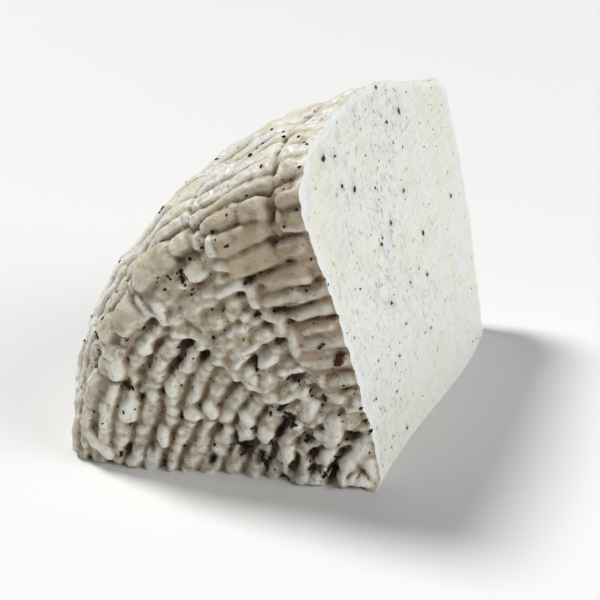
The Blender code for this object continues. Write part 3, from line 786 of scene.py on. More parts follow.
@dataclass
class WedgeMesh:
    """The dense closed mesh of the wedge.

    Attributes:
        rind: The printed rind.
        steps: The mesh's step along the rind at these lengths, in millimetres.
        least_count: The fewest faces that a row round the rind has.
        cut_step: The mesh's step on the slanted cut, and tip_step the one along the tip edge.
        edge_width: How wide the slanted cut's paler edge is.
        knife_pitch: The distance between the knife's waves, and knife_depth their height.
        softening: The rounds of smoothing that the print gets.
        smoothing: The rounds that wide grooves are told by, and fine_smoothing narrow ones.
        lengths: Where the rind's vertices lie along it, and angles where they lie round it.
    """

    rind: Rind
    steps: tuple[Span, ...] = ((0.0, 0.29), (72.0, 0.31), (84.0, 0.42), (130.0, 0.58), (212.0, 0.80))
    least_count: int = 6
    cut_step: float = 0.75 * MM
    tip_step: float = 0.6 * MM
    edge_width: float = 4.0 * MM
    knife_pitch: float = 3.1 * MM
    knife_depth: float = 0.07 * MM
    softening: int = 2
    smoothing: int = 85
    fine_smoothing: int = 9
    lengths: Array = field(init=False, repr=False)
    angles: Array = field(init=False, repr=False)

    def row_step(self, length: float) -> float:
        """The mesh's step at a length along the rind."""
        return MM * float(np.interp(length / MM, *zip(*self.steps)))

    def row_lengths(self) -> list[float]:
        """The length along the rind of each row of vertices."""
        rows = []
        length = 0.6 * MM
        while length < self.rind.wheel.profile_length - 0.4 * MM:
            rows.append(length)
            length += self.row_step(length)
        return rows

    def row_count(self, length: float) -> int:
        """How many faces lie side by side in the row at this length."""
        wheel = self.rind.wheel
        reach = float(wheel.smooth_point(np.array([length]), np.array([0.5 * wheel.wedge_angle]))[0, 0])
        return max(self.least_count, math.ceil(wheel.wedge_angle * reach / self.row_step(length)))

    def build(self) -> Object:
        """Makes the wedge.

        Returns:
            The wedge. Its finishes read the attributes cavity, crease, wax, knob, pit, wall,
            stain, shade, band and edge, and its flakes read chance and cut_chance.
        """
        wheel = self.rind.wheel
        lengths = self.row_lengths()
        counts = [self.row_count(length) for length in lengths]
        all_lengths = np.concatenate([np.full(count + 1, length) for length, count in zip(lengths, counts)])
        all_angles = np.concatenate([np.linspace(0.0, wheel.wedge_angle, count + 1) for count in counts])
        starts = np.concatenate([[0], np.cumsum(np.array(counts) + 1)])
        rows = [list(range(start, end)) for start, end in zip(starts, starts[1:])]
        faces = [face for lower, upper in zip(rows, rows[1:]) for face in zip_rows(lower, upper)]
        height, tones = self.printed(all_lengths, all_angles, faces)

        vertices = self.rind.points(all_lengths, all_angles, height).tolist()
        near_tip, far_tip = len(vertices), len(vertices) + 1
        vertices += [self.tip_point(0.0).tolist(), self.tip_point(wheel.profile_length).tolist()]
        faces += [(near_tip, right, left) for left, right in zip(rows[0], rows[0][1:])]
        faces += [(far_tip, left, right) for left, right in zip(rows[-1], rows[-1][1:])]
        rind_faces = len(faces)
        tip = self.tip_edge(vertices, near_tip, far_tip)
        floor_border = [near_tip] + [row[0] for row in rows] + [far_tip] + tip
        faces += self.fill(vertices, floor_border, [], slanted=False)
        slant_border = [near_tip] + [row[-1] for row in rows] + [far_tip] + tip
        inner = self.cut_grid(vertices, slant_border)
        faces += self.fill(vertices, slant_border, inner, slanted=True)

        mesh = bpy.data.meshes.new(CAD_NODE + "_dressed")
        mesh.from_pydata(vertices, [], faces)
        surface = np.full(len(mesh.polygons), Surface.PASTE.value, np.int32)
        surface[:rind_faces] = Surface.RIND.value
        mesh.polygons.foreach_set("material_index", surface)
        self.finish(mesh)
        self.lengths, self.angles = self.rind.moved(all_lengths, all_angles), all_angles
        for name, values in tones.items():
            self.store_on_rind(mesh, name, values)
        self.store_on_cut(mesh, vertices, slant_border, inner)
        made = bpy.data.objects.new("cheese_wedge_dressed", mesh)
        bpy.context.scene.collection.objects.link(made)
        return made

    def printed(self, lengths: Array, angles: Array, faces: list[Triangle]) -> tuple[Array, dict[str, Array]]:
        """The print's height, and what the finishes and the flakes read, at each vertex of the rind.

        Args:
            lengths: The vertices' lengths along the rind.
            angles: Their angles from the cut on the floor.
            faces: The triangles between them.

        Returns:
            The heights, and numbers by attribute. Cavity is over 0 in wide grooves and
            crease in narrow ones, and chance is greatest where spice gathers.
        """
        rind, wheel = self.rind, self.rind.wheel
        smooth = wheel.in_space(wheel.smooth_point(lengths, angles), angles)
        height, tones = rind.relief(lengths, angles, smooth)
        height = rind.fade(lengths) * self.smoothed(faces, height, self.softening)
        cavity = (self.smoothed(faces, height, self.smoothing) - height) / MM
        tones["cavity"] = cavity
        tones["crease"] = (self.smoothed(faces, height, self.fine_smoothing) - height) / MM
        tones["stain"] = rind.stain(lengths, angles)
        tones["shade"] = rind.shade(lengths, angles)
        hidden = (angles < math.radians(0.5)) | (angles > wheel.wedge_angle - math.radians(0.4))
        chance = np.clip(0.12 + 1.3 * cavity, 0.04, 1.0) * (0.35 + 1.3 * tones["stain"])
        tones["chance"] = np.where(hidden, 0.0, chance * (1.0 - 0.55 * tones["wax"]))
        return height, tones

    def speck_bands(self, reach: Array, depth: Array) -> Array:
        """How thick the specks lie in the slanted cut: in two slanting bands and a cloud."""
        near = 0.7 * np.exp(-(((depth - 0.53 * reach + 9.5) / 5.0) ** 2))
        middle = np.exp(-(((depth - 0.545 * reach - 7.5) / 8.5) ** 2))
        middle = (0.55 + 0.45 * smooth_step(reach, 15.0, 40.0)) * middle
        cloud = np.exp(-(((depth - 40.0) / 9.0) ** 2) - (((reach - 22.0) / 9.0) ** 2))
        return np.clip(0.28 + 0.6 * near + 0.8 * middle + 0.5 * cloud, 0.0, 1.0)

    def smoothed(self, faces: list[Triangle], values: Array, rounds: int) -> Array:
        """Evens a value out between neighbouring vertices, this many times."""
        corners = np.array(faces)
        first = np.concatenate([corners[:, 0], corners[:, 1], corners[:, 2]])
        second = np.concatenate([corners[:, 1], corners[:, 2], corners[:, 0]])
        count = np.maximum(np.bincount(first, minlength=len(values)), 1)
        for _ in range(rounds):
            near = np.bincount(first, weights=values[second], minlength=len(values))
            values = 0.5 * values + 0.5 * near / count
        return values

    def tip_point(self, length: float) -> Array:
        """The near or the far end of the tip edge."""
        wheel = self.rind.wheel
        point = wheel.smooth_point(np.array([length]), np.array([0.0]))
        return wheel.in_space(point, np.array([0.0]))[0]

    def tip_edge(self, vertices: Points, near_tip: int, far_tip: int) -> list[int]:
        """Adds the vertices of the tip edge between its two ends, from the far one on."""
        wheel = self.rind.wheel
        ends = np.array([vertices[near_tip][1], vertices[far_tip][1]]) - wheel.tip_place[1]
        count = int((ends[1] - ends[0]) / self.tip_step)
        heights = np.linspace(ends[1], ends[0], count + 1)[1:-1]
        none = np.zeros_like(heights)
        vertices += wheel.in_space(np.stack([none, heights], axis=-1), none).tolist()
        return list(range(len(vertices) - len(heights), len(vertices)))

    def flat_place(self, vertex: list[float], slanted: bool) -> Vector:
        """A vertex of a cut in its own two directions: its reach from the tip edge, and its depth."""
        wheel = self.rind.wheel
        if slanted:
            return Vector(((vertex[2] - wheel.tip_place[2]) / math.sin(wheel.wedge_angle), vertex[1]))
        return Vector((wheel.tip_place[0] - vertex[0], vertex[1]))

    def slant_places(self, vertices: Points) -> Array:
        """Vertices in the slanted cut's own two directions, one a row."""
        return np.array([self.flat_place(vertex, True) for vertex in vertices])

    def fill(self, vertices: Points, border: list[int], inner: list[int], slanted: bool) -> list[tuple]:
        """Triangles of a cut face, between its border and its inner vertices."""
        corners = border + inner
        flat = [self.flat_place(vertices[corner], slanted) for corner in corners]
        edges = [(index, (index + 1) % len(border)) for index in range(len(border))]
        result = delaunay_2d_cdt(flat, edges, [], 1, 1e-8)
        return [tuple(corners[result[3][index][0]] for index in triangle) for triangle in result[2]]

    def cut_grid(self, vertices: Points, border: list[int]) -> list[int]:
        """Adds the slanted cut's inner vertices, which carry the knife's faint marks."""
        wheel = self.rind.wheel
        outline = self.slant_places([vertices[corner] for corner in border])
        low, high = outline.min(axis=0), outline.max(axis=0)
        ways = [np.arange(low[axis], high[axis], self.cut_step) for axis in (0, 1)]
        reach, depth = (way.ravel() for way in np.meshgrid(*ways, indexing="ij"))
        away = distance_to(outline, reach, depth)
        keep = inside_outline(outline, reach, depth) & (away > 0.55 * self.cut_step)
        reach, depth, away = reach[keep], depth[keep], away[keep]
        height = depth - wheel.tip_place[1]
        places = wheel.in_space(np.stack([reach, height], axis=-1), np.full_like(reach, wheel.wedge_angle))
        marks = self.knife_marks(reach, depth) * smooth_step(away, 0.0, 2.0 * MM)
        places = places + marks[:, None] * wheel.slant_normal
        vertices += places.tolist()
        return list(range(len(vertices) - len(reach), len(vertices)))

    def knife_marks(self, reach: Array, depth: Array) -> Array:
        """Faint slanted waves that the knife left, and the paste's own slight unevenness."""
        flat = np.stack([reach, depth, np.zeros_like(reach)], axis=-1)
        bend = 0.8 * MM * lumps(flat, 11.0 * MM)
        wave = np.sin(2.0 * math.pi * (0.86 * depth - 0.5 * reach + bend) / self.knife_pitch)
        patch = 0.5 + 0.5 * lumps(flat, 14.0 * MM, (3.0, 0.0, 1.0))
        return self.knife_depth * wave * patch + 0.12 * MM * lumps(flat, 6.0 * MM, (0.0, 5.0, 2.0)) - 0.1 * MM

    def finish(self, mesh: Mesh) -> None:
        """Turns the faces outwards, and shades them smooth but for the cuts' edges."""
        shape = bmesh.new()
        shape.from_mesh(mesh)
        bmesh.ops.recalc_face_normals(shape, faces=shape.faces)
        for face in shape.faces:
            face.smooth = True
        for edge in shape.edges:
            faces = edge.link_faces
            crossing = len({face.material_index for face in faces}) > 1
            edge.smooth = not crossing and faces[0].normal.dot(faces[1].normal) > 0.0
        shape.to_mesh(mesh)
        shape.free()

    def store_on_cut(self, mesh: Mesh, vertices: Points, border: list[int], inner: list[int]) -> None:
        """Keeps what the slanted cut's finish and specks read: the specks' bands, and 1 on its edge."""
        flat = self.slant_places(vertices)
        band = self.speck_bands(flat[:, 0] / MM, (flat[:, 1] - self.rind.wheel.tip_place[1]) / MM)
        self.store(mesh, "band", band)
        on_cut = np.zeros(len(vertices))
        on_cut[inner] = 1.0
        self.store(mesh, "cut_chance", band * on_cut)
        outline = flat[border]
        rind_only = outline[outline[:, 0] > 1.0 * MM]
        away = distance_to(rind_only, flat[inner, 0], flat[inner, 1], closed=False)
        edge = np.ones(len(vertices))
        edge[inner] = 1.0 - smooth_step(away, 0.0, self.edge_width)
        self.store(mesh, "edge", edge)

    def store_on_rind(self, mesh: Mesh, name: str, values: Array) -> None:
        """Keeps one number for each vertex of the rind, and 0 for the others."""
        self.store(mesh, name, np.concatenate([values, np.zeros(len(mesh.vertices) - len(values))]))

    def store(self, mesh: Mesh, name: str, values: Array) -> None:
        """Keeps one number for each vertex, for the materials to read."""
        layer = mesh.attributes.new(name, "FLOAT", "POINT")
        layer.data.foreach_set("value", values.astype(np.float32))


def zip_rows(lower: list[int], upper: list[int]) -> list[Triangle]:
    """Triangles between two rows of vertices that run over the same angles, of any two counts."""
    faces = []
    left, right = 0, 0
    last_left, last_right = len(lower) - 1, len(upper) - 1
    while left < last_left or right < last_right:
        next_left = (left + 1) / last_left
        next_right = (right + 1) / last_right
        if right == last_right or (left < last_left and next_left <= next_right):
            faces.append((lower[left], lower[left + 1], upper[right]))
            left += 1
        else:
            faces.append((lower[left], upper[right + 1], upper[right]))
            right += 1
    return faces


def inside_outline(outline: Array, across: Array, along: Array) -> Array:
    """Which points lie inside a closed outline."""
    inside = np.zeros(len(across), bool)
    for start, end in zip(outline, np.roll(outline, -1, axis=0)):
        crosses = (start[1] > along) != (end[1] > along)
        if start[1] == end[1]:
            continue
        at = start[0] + (along - start[1]) * (end[0] - start[0]) / (end[1] - start[1])
        inside ^= crosses & (across < at)
    return inside


def distance_to(outline: Array, across: Array, along: Array, closed: bool = True) -> Array:
    """Each point's distance to an outline."""
    nearest = np.full(len(across), np.inf)
    count = len(outline) if closed else len(outline) - 1
    for index in range(count):
        start, end = outline[index], outline[(index + 1) % len(outline)]
        run = end - start
        size = max(float(run @ run), 1e-16)
        share = np.clip(((across - start[0]) * run[0] + (along - start[1]) * run[1]) / size, 0.0, 1.0)
        away = np.hypot(across - start[0] - share * run[0], along - start[1] - share * run[1])
        nearest = np.minimum(nearest, away)
    return nearest


@dataclass
class Chips:
    """Builds single flakes, each a thin bent chip with an uneven outline.

    Attributes:
        corners: How many corners each outline has.
        thickness: A chip's thickness at its middle.
        bend: How far a chip's middle stands over its ends, as a share of its size.
        seed: The seed of the outlines.
        unevenness: How far a corner may stray along the outline, as a share of a side.
        radii: How near to the middle and how far from it a corner may lie.
        shoulder: The size of a chip's top and bottom, as a share of its outline.
        places: The vertices of the chips added so far, with their faces and tints.
    """

    corners: int = 9
    thickness: float = 0.38 * MM
    bend: float = 0.10
    seed: int = 4
    unevenness: float = 0.3
    radii: Span = (0.5, 1.2)
    shoulder: float = 0.62
    places: list[Array] = field(default_factory=list)
    faces: list[Triangle] = field(default_factory=list)
    tints: list[float] = field(default_factory=list)

    def __post_init__(self) -> None:
        """Starts the random draws."""
        self.draw = np.random.default_rng(self.seed)

    def add(self, centre: Array, outward: Array, flake: Flake, along: Array) -> None:
        """Adds a chip.

        Args:
            centre: Its middle.
            outward: The direction that it faces.
            flake: Its sizes, turn and tint.
            along: The direction that its turn is counted from.
        """
        first = along - outward * float(along @ outward)
        first = first / np.linalg.norm(first)
        second = np.cross(outward, first)
        turn = math.radians(flake.turn)
        long_way = math.cos(turn) * first + math.sin(turn) * second
        short_way = np.cross(outward, long_way)
        stray = self.draw.uniform(-self.unevenness, self.unevenness, self.corners)
        angles = (np.arange(self.corners) + stray) * 2.0 * math.pi / self.corners
        radii = self.draw.uniform(*self.radii, self.corners)
        start = sum(len(ring) for ring in self.places)
        for share, level in ((self.shoulder, 0.5), (1.0, 0.0), (self.shoulder, -0.5)):
            sideways = share * radii * np.cos(angles)
            lengthwise = share * radii * np.sin(angles)
            lift = level * self.thickness - self.bend * flake.long * MM * sideways**2
            flat = np.outer(sideways, flake.long * long_way) + np.outer(lengthwise, flake.short * short_way)
            self.places.append(centre + 0.5 * MM * flat + np.outer(lift, outward))
        caps = np.stack([centre + 0.5 * self.thickness * outward, centre - 0.5 * self.thickness * outward])
        self.places.append(caps)
        top, bottom = start + 3 * self.corners, start + 3 * self.corners + 1
        for corner in range(self.corners):
            after = (corner + 1) % self.corners
            self.faces.append((top, start + corner, start + after))
            self.faces.append((bottom, start + 2 * self.corners + after, start + 2 * self.corners + corner))
            for ring in (0, 1):
                upper, lower = start + ring * self.corners, start + (ring + 1) * self.corners
                self.faces.append((upper + corner, lower + corner, lower + after))
                self.faces.append((upper + corner, lower + after, upper + after))
        self.tints += [flake.tint] * (3 * self.corners + 2)


@dataclass(frozen=True)
class Pepper:
    """The pepper flakes: the ones that show on their own, and the fine ones strewn between them.

    Attributes:
        rind: The large flakes on the rind.
        cut: The large flakes in the slanted cut.
        whole_length: The length from which a flake is seen as ragged chips, in millimetres.
        whole_share: The width, as a share of the length, from which it is still seen as one.
        chip_step: The distance between those chips.
        smudge_reach: How far a stain on the rind goes, as shares of its flake's length and width.
        halo_reach: How far a stain in the cut goes, as a share of its flake's length.
        wall_count: How many flakes lie on the wall and the upper face, where none can be seen.
        wall_span: The lengths along the rind that they lie between, in millimetres.
        wall_margin: How near they come to the cuts, as a share of the wedge's angle.
        wall_long: Their least and greatest length, in millimetres.
        rind_density: The most small flakes on the rind, for each square metre.
        cut_density: The most specks in the slanted cut, for each square metre.
        rind_size: The least and the greatest size of a small flake on the rind.
        cut_size: The least and the greatest size of a speck in the cut.
    """

    rind: tuple[Flake, ...] = (
        Flake(65.9, 74.4, 1, 0.5, 10), Flake(70.3, 66.9, 0.8, 0.6, 70, 0.7),
        Flake(67.9, 80.4, 0.9, 0.5, 10), Flake(70.3, 78.3, 0.8, 0.4, 0, 0.4),
        Flake(71.8, 79.2, 1.2, 0.35, 5), Flake(74.7, 72.6, 0.9, 0.4, 60),
        Flake(77, 69.3, 0.7, 0.5, 0, 0.9), Flake(67.4, 76.2, 0.9, 0.6, 0, 0.2),
        Flake(71.8, 74.4, 0.9, 0.5, 30, 0), Flake(55.2, 85.5, 1, 0.5, 20),
        Flake(48.8, 72.6, 1.6, 0.7, 30, 0), Flake(77, 57, 0.9, 0.6),
        Flake(74.2, 54.9, 0.7, 0.6, 40, 0.3), Flake(61.1, 58.5, 1.1, 0.7, 80, 0.4),
        Flake(63.4, 55.7, 1, 0.7, 10, 0.35), Flake(51.4, 56, 1.6, 0.7, 15),
        Flake(50.6, 54.6, 2.2, 0.9, 70, 0.7), Flake(46.4, 55.5, 0.8, 0.7, 0, 0),
        Flake(49.3, 51.6, 0.7, 0.6, 0, 0), Flake(71.3, 48.2, 1.2, 0.9, 20, 0.5),
        Flake(61.1, 47.7, 2, 1.1, 10, 0), Flake(65, 37.5, 1.7, 1.3, 30, 0),
        Flake(63.6, 40.5, 2.6, 0.6, 5), Flake(58.1, 41.4, 1.8, 0.7, -10),
        Flake(69.9, 31.4, 1.8, 0.9, 15, 0.2), Flake(73.8, 27.6, 3, 2, 35, 0.62),
        Flake(59.1, 34.8, 1.4, 1, 60, 0.2), Flake(47.9, 34.2, 2.6, 0.6, 50),
        Flake(52.4, 27.4, 1.9, 0.9, 70, 0.6), Flake(54.4, 27.6, 2.3, 1.1, 40, 0.65),
        Flake(51, 27.8, 1.2, 0.7, 0, 0.5), Flake(58.6, 20.9, 1.7, 1.1, 60, 0.2),
        Flake(26.9, 62.4, 1.6, 0.9, 60, 0.3), Flake(36.1, 53.7, 1.3, 0.8, 10, 0.4),
        Flake(21, 51.2, 2.6, 1.1, 80, 0.25), Flake(31.8, 44.9, 1.8, 0.9, 40, 0.05),
        Flake(38.4, 42.2, 2.2, 0.7, 0, 0.2), Flake(38, 21.9, 3.2, 1.5, 70, 0.55),
        Flake(36, 20.6, 1.6, 1, 10, 0.35), Flake(39.8, 24.2, 2.6, 0.9, 5, 0),
        Flake(33.7, 25.2, 1.3, 0.8, 20, 0.2), Flake(30.4, 21.4, 2.4, 0.8, 15, 0.15),
        Flake(24.6, 21.6, 2.2, 0.9, -20), Flake(21, 22, 1.8, 0.9, 30, 0.2),
        Flake(13.2, 27.4, 2.6, 1, 40, 0), Flake(10.6, 26, 2.2, 1, -30, 0.05),
        Flake(11.2, 22.6, 2.4, 0.9, 10, 0.3), Flake(6.6, 21.4, 2, 0.8, 20),
        Flake(25.4, 14.3, 1.9, 1.1, 20, 0), Flake(11.7, 16.8, 2.4, 1.1, 20, 0.15),
        Flake(26, 9.3, 3, 0.8, 5, 0.25), Flake(18, 9.9, 2.4, 0.8, -15, 0.2),
        Flake(3, 49.8, 1.4, 1, 0, 0), Flake(4.6, 48.6, 1.9, 1.5, 30, 0.66),
        Flake(4.4, 31.8, 1.5, 1.1, 60, 0), Flake(76, 43.4, 1.2, 0.7, 20, 0.97),
        Flake(74.8, 43.1, 0.8, 0.5, 70, 1), Flake(76.8, 44.3, 0.7, 0.5, 0, 0.92),
        Flake(76.5, 35.4, 1, 0.6, 10, 0.95), Flake(77, 16.8, 1.1, 0.8, 50, 0.8),
        Flake(75.2, 13.4, 1.6, 1, 20, 0.95), Flake(77, 11.1, 1.1, 0.8, 0, 0),
        Flake(59.1, 11.4, 2.8, 1, 10, 0.5), Flake(34.2, 16.2, 2.2, 0.7, -15, 0.6),
    )
    cut: tuple[Flake, ...] = (
        Flake(10.1, 57.3, 1.5, 1.3, 0, 0), Flake(14.3, 56.8, 1.3, 0.4, 5),
        Flake(14.6, 51.7, 1.1, 0.9, 0, 0), Flake(19.5, 50, 1.3, 0.9, 30, 0.5),
        Flake(42.6, 44.2, 1.1, 1, 20, 0.88), Flake(32.8, 40.2, 1.1, 0.9),
        Flake(49.1, 33.6, 1.2, 1.1, 0, 0.3), Flake(72, 36, 1.1, 1, 0, 0.2),
        Flake(46.5, 25.3, 1.1, 0.9, 60), Flake(36.7, 26.9, 1, 0.7, 0, 0.9),
        Flake(25.8, 26.5, 1.2, 0.9, 0, 0.05), Flake(26.5, 37.9, 1.1, 0.9), Flake(40.4, 58.3, 1, 0.8),
        Flake(48, 59.3, 1.5, 1.2, 20, 0.88), Flake(38.1, 65.3, 1.3, 1, 0, 0.9),
        Flake(21.7, 2.4, 1, 0.8), Flake(5.4, 10, 0.8, 0.6), Flake(42, 15.1, 0.8, 0.6, 0, 0.9),
        Flake(30.7, 20.5, 0.7, 0.5, 0, 0.2), Flake(24.7, 16.2, 0.7, 0.5, 0, 0.2),
        Flake(10.9, 13.9, 0.8, 0.5, 0, 0.2),
    )
    whole_length: float = 1.5
    whole_share: float = 0.65
    chip_step: float = 0.55
    smudge_reach: Span = (0.6, 0.8)
    halo_reach: float = 0.8
    wall_count: int = 14
    wall_seed: int = 11
    wall_span: Span = (80.0, 190.0)
    wall_margin: float = 0.08
    wall_long: Span = (1.8, 2.8)
    wall_width_share: float = 0.6
    wall_tint: float = 0.2
    rind_density: float = 85.0e4
    cut_density: float = 13.0e4
    rind_size: Span = (0.22 * MM, 1.0 * MM)
    cut_size: Span = (0.22 * MM, 0.85 * MM)

    def wall(self) -> list[Flake]:
        """The flakes spread over the wall and the upper face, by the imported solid's own draws."""
        draw = random.Random(self.wall_seed)
        start, end = self.wall_span
        flakes = []
        for number in range(self.wall_count):
            along = start + (number + draw.random()) / self.wall_count * (end - start)
            angle = math.degrees(WHEEL.wedge_angle) * draw.uniform(self.wall_margin, 1.0 - self.wall_margin)
            long = draw.uniform(*self.wall_long)
            short, turn = self.wall_width_share * long, draw.uniform(0.0, 180.0)
            flakes.append(Flake(angle, along, long, short, turn, self.wall_tint))
        return flakes

    def ringwise(self, maker: WedgeMesh, flake: Flake) -> Array:
        """How far along its ring each vertex of the rind is past a flake."""
        reach = np.clip(maker.lengths, maker.rind.basket.least_reach, WHEEL.radius)
        return reach * (maker.angles - math.radians(flake.across))

    def cut_place(self, flake: Flake) -> Array:
        """The place of a flake in the slanted cut."""
        return WHEEL.in_space(np.array([flake.along * MM, flake.across * MM]), np.array(WHEEL.wedge_angle))

    def smudges(self, maker: WedgeMesh) -> Array:
        """How far the spice has stained the rind round its largest flakes, from 0 to 1."""
        smudge = np.zeros(len(maker.lengths))
        for flake in self.rind:
            if flake.long < self.whole_length:
                continue
            turn = math.radians(flake.turn)
            ringwise = self.ringwise(maker, flake)
            lengthwise = maker.lengths - flake.along * MM
            long, short = self.smudge_reach[0] * MM * flake.long, self.smudge_reach[1] * MM * flake.short
            long_way = (math.cos(turn) * ringwise + math.sin(turn) * lengthwise) / long
            short_way = (math.cos(turn) * lengthwise - math.sin(turn) * ringwise) / short
            smudge = np.maximum(smudge, np.exp(-(long_way**2) - short_way**2))
        return smudge

    def halos(self, maker: WedgeMesh, wedge: Object) -> Array:
        """How far each large flake in the cut has stained the paste round it, from 0 to 1."""
        places = np.array([vertex.co for vertex in wedge.data.vertices])
        halo = np.zeros(len(places))
        for flake in self.cut:
            away = np.linalg.norm(places - self.cut_place(flake), axis=-1)
            away = away / (self.halo_reach * MM * flake.long)
            halo = np.maximum(halo, np.exp(-(away**2)))
        halo[: len(maker.lengths)] = 0.0
        return halo

    def split(self, flake: Flake) -> list[Flake]:
        """The ragged chips that one long flake is seen as, strewn along it."""
        if flake.long < self.whole_length or flake.short >= self.whole_share * flake.long:
            return [flake]
        draw = np.random.default_rng(int(100.0 * flake.across + flake.along))
        turn = math.radians(flake.turn)
        reach = min(flake.along, 1000.0 * WHEEL.radius)
        chips = []
        for share in np.linspace(-0.4, 0.4, max(3, round(flake.long / self.chip_step))):
            out = share * flake.long + draw.uniform(-0.1, 0.1)
            side = draw.uniform(-0.28, 0.28) * flake.short
            ringwise = math.cos(turn) * out - math.sin(turn) * side
            lengthwise = math.sin(turn) * out + math.cos(turn) * side
            chip = Flake(
                across=flake.across + math.degrees(ringwise / reach),
                along=flake.along + lengthwise,
                long=draw.uniform(0.4, 0.62) * flake.long,
                short=draw.uniform(0.16, 0.3) * flake.long,
                turn=flake.turn + draw.uniform(-60.0, 60.0),
                tint=max(0.0, flake.tint + draw.uniform(-0.25, 0.1)),
            )
            chips.append(chip)
        return chips

    def build(self, maker: WedgeMesh, wedge: Object, material: Material) -> list[Object]:
        """Makes the flakes on the rind and the specks in the cut.

        Args:
            maker: What built the wedge, which knows where its vertices lie on the rind.
            wedge: The wedge.
            material: The flakes' finish.

        Returns:
            The two pieces.
        """
        count = len(maker.lengths)
        places = np.array([vertex.co for vertex in wedge.data.vertices])[:count]
        normals = np.array([vertex.normal for vertex in wedge.data.vertices])[:count]
        chips = Chips()
        for flake in [chip for whole in [*self.rind, *self.wall()] for chip in self.split(whole)]:
            away = np.hypot(self.ringwise(maker, flake), maker.lengths - flake.along * MM)
            outward = normals[away < max(0.4 * flake.long, 0.5) * MM].mean(axis=0)
            outward = outward / np.linalg.norm(outward)
            nearest = np.argmin(away)
            angle = maker.angles[nearest]
            ringwise = np.array([math.sin(angle), 0.0, math.cos(angle)])
            chips.add(places[nearest] + 0.05 * MM * outward, outward, flake, ringwise)
        specks = Chips(thickness=0.16 * MM, bend=0.0, seed=6)
        for flake in self.cut:
            specks.add(self.cut_place(flake), WHEEL.slant_normal, flake, np.array([0.0, 1.0, 0.0]))
        strewn = Strewing("rind", "chance", self.rind_density, self.rind_size, 0.55, 21)
        sown = Strewing("cut", "cut_chance", self.cut_density, self.cut_size, 0.22, 22)
        on_rind = join_chips("pepper_flakes", chips, strewn.build(wedge), material)
        in_cut = join_chips("cut_specks", specks, sown.build(wedge), material)
        return [on_rind, in_cut]


def join_chips(name: str, chips: Chips, strewn: Mesh, material: Material) -> Object:
    """One object of single flakes and strewn ones, with the tint of each."""
    places = np.array([vertex.co for vertex in strewn.vertices]).reshape(-1, 3)
    places = np.concatenate([*chips.places, places])
    start = len(chips.tints)
    faces = chips.faces + [tuple(start + corner for corner in face.vertices) for face in strewn.polygons]
    tints = np.zeros(len(strewn.vertices), np.float32)
    strewn.attributes["tint"].data.foreach_get("value", tints)
    mesh = bpy.data.meshes.new(name)
    mesh.from_pydata(places.tolist(), [], faces)
    layer = mesh.attributes.new("tint", "FLOAT", "POINT")
    layer.data.foreach_set("value", np.concatenate([np.array(chips.tints, np.float32), tints]))
    mesh.materials.append(material)
    bpy.data.meshes.remove(strewn)
    made = bpy.data.objects.new(name, mesh)
    bpy.context.scene.collection.objects.link(made)
    return made


class Graph:
    """Builds a tree of nodes, one call a node."""

    def __init__(self, tree: NodeTree) -> None:
        """Keeps the tree."""
        self.tree = tree

    def add(self, kind: str, inputs: dict | None = None, **settings: object) -> Node:
        """Adds a node.

        Args:
            kind: Its kind.
            inputs: What its sockets get, by name or number: another node's socket, or a value.
            settings: The node's own settings.

        Returns:
            The node.
        """
        made = self.tree.nodes.new(kind)
        for name, value in settings.items():
            setattr(made, name, value)
        for name, value in (inputs or {}).items():
            self.plug(made.inputs[name], value)
        return made

    def plug(self, socket: Socket, value: object) -> None:
        """Links a socket to another, or sets its value."""
        if isinstance(value, Socket):
            self.tree.links.new(value, socket)
        else:
            socket.default_value = value


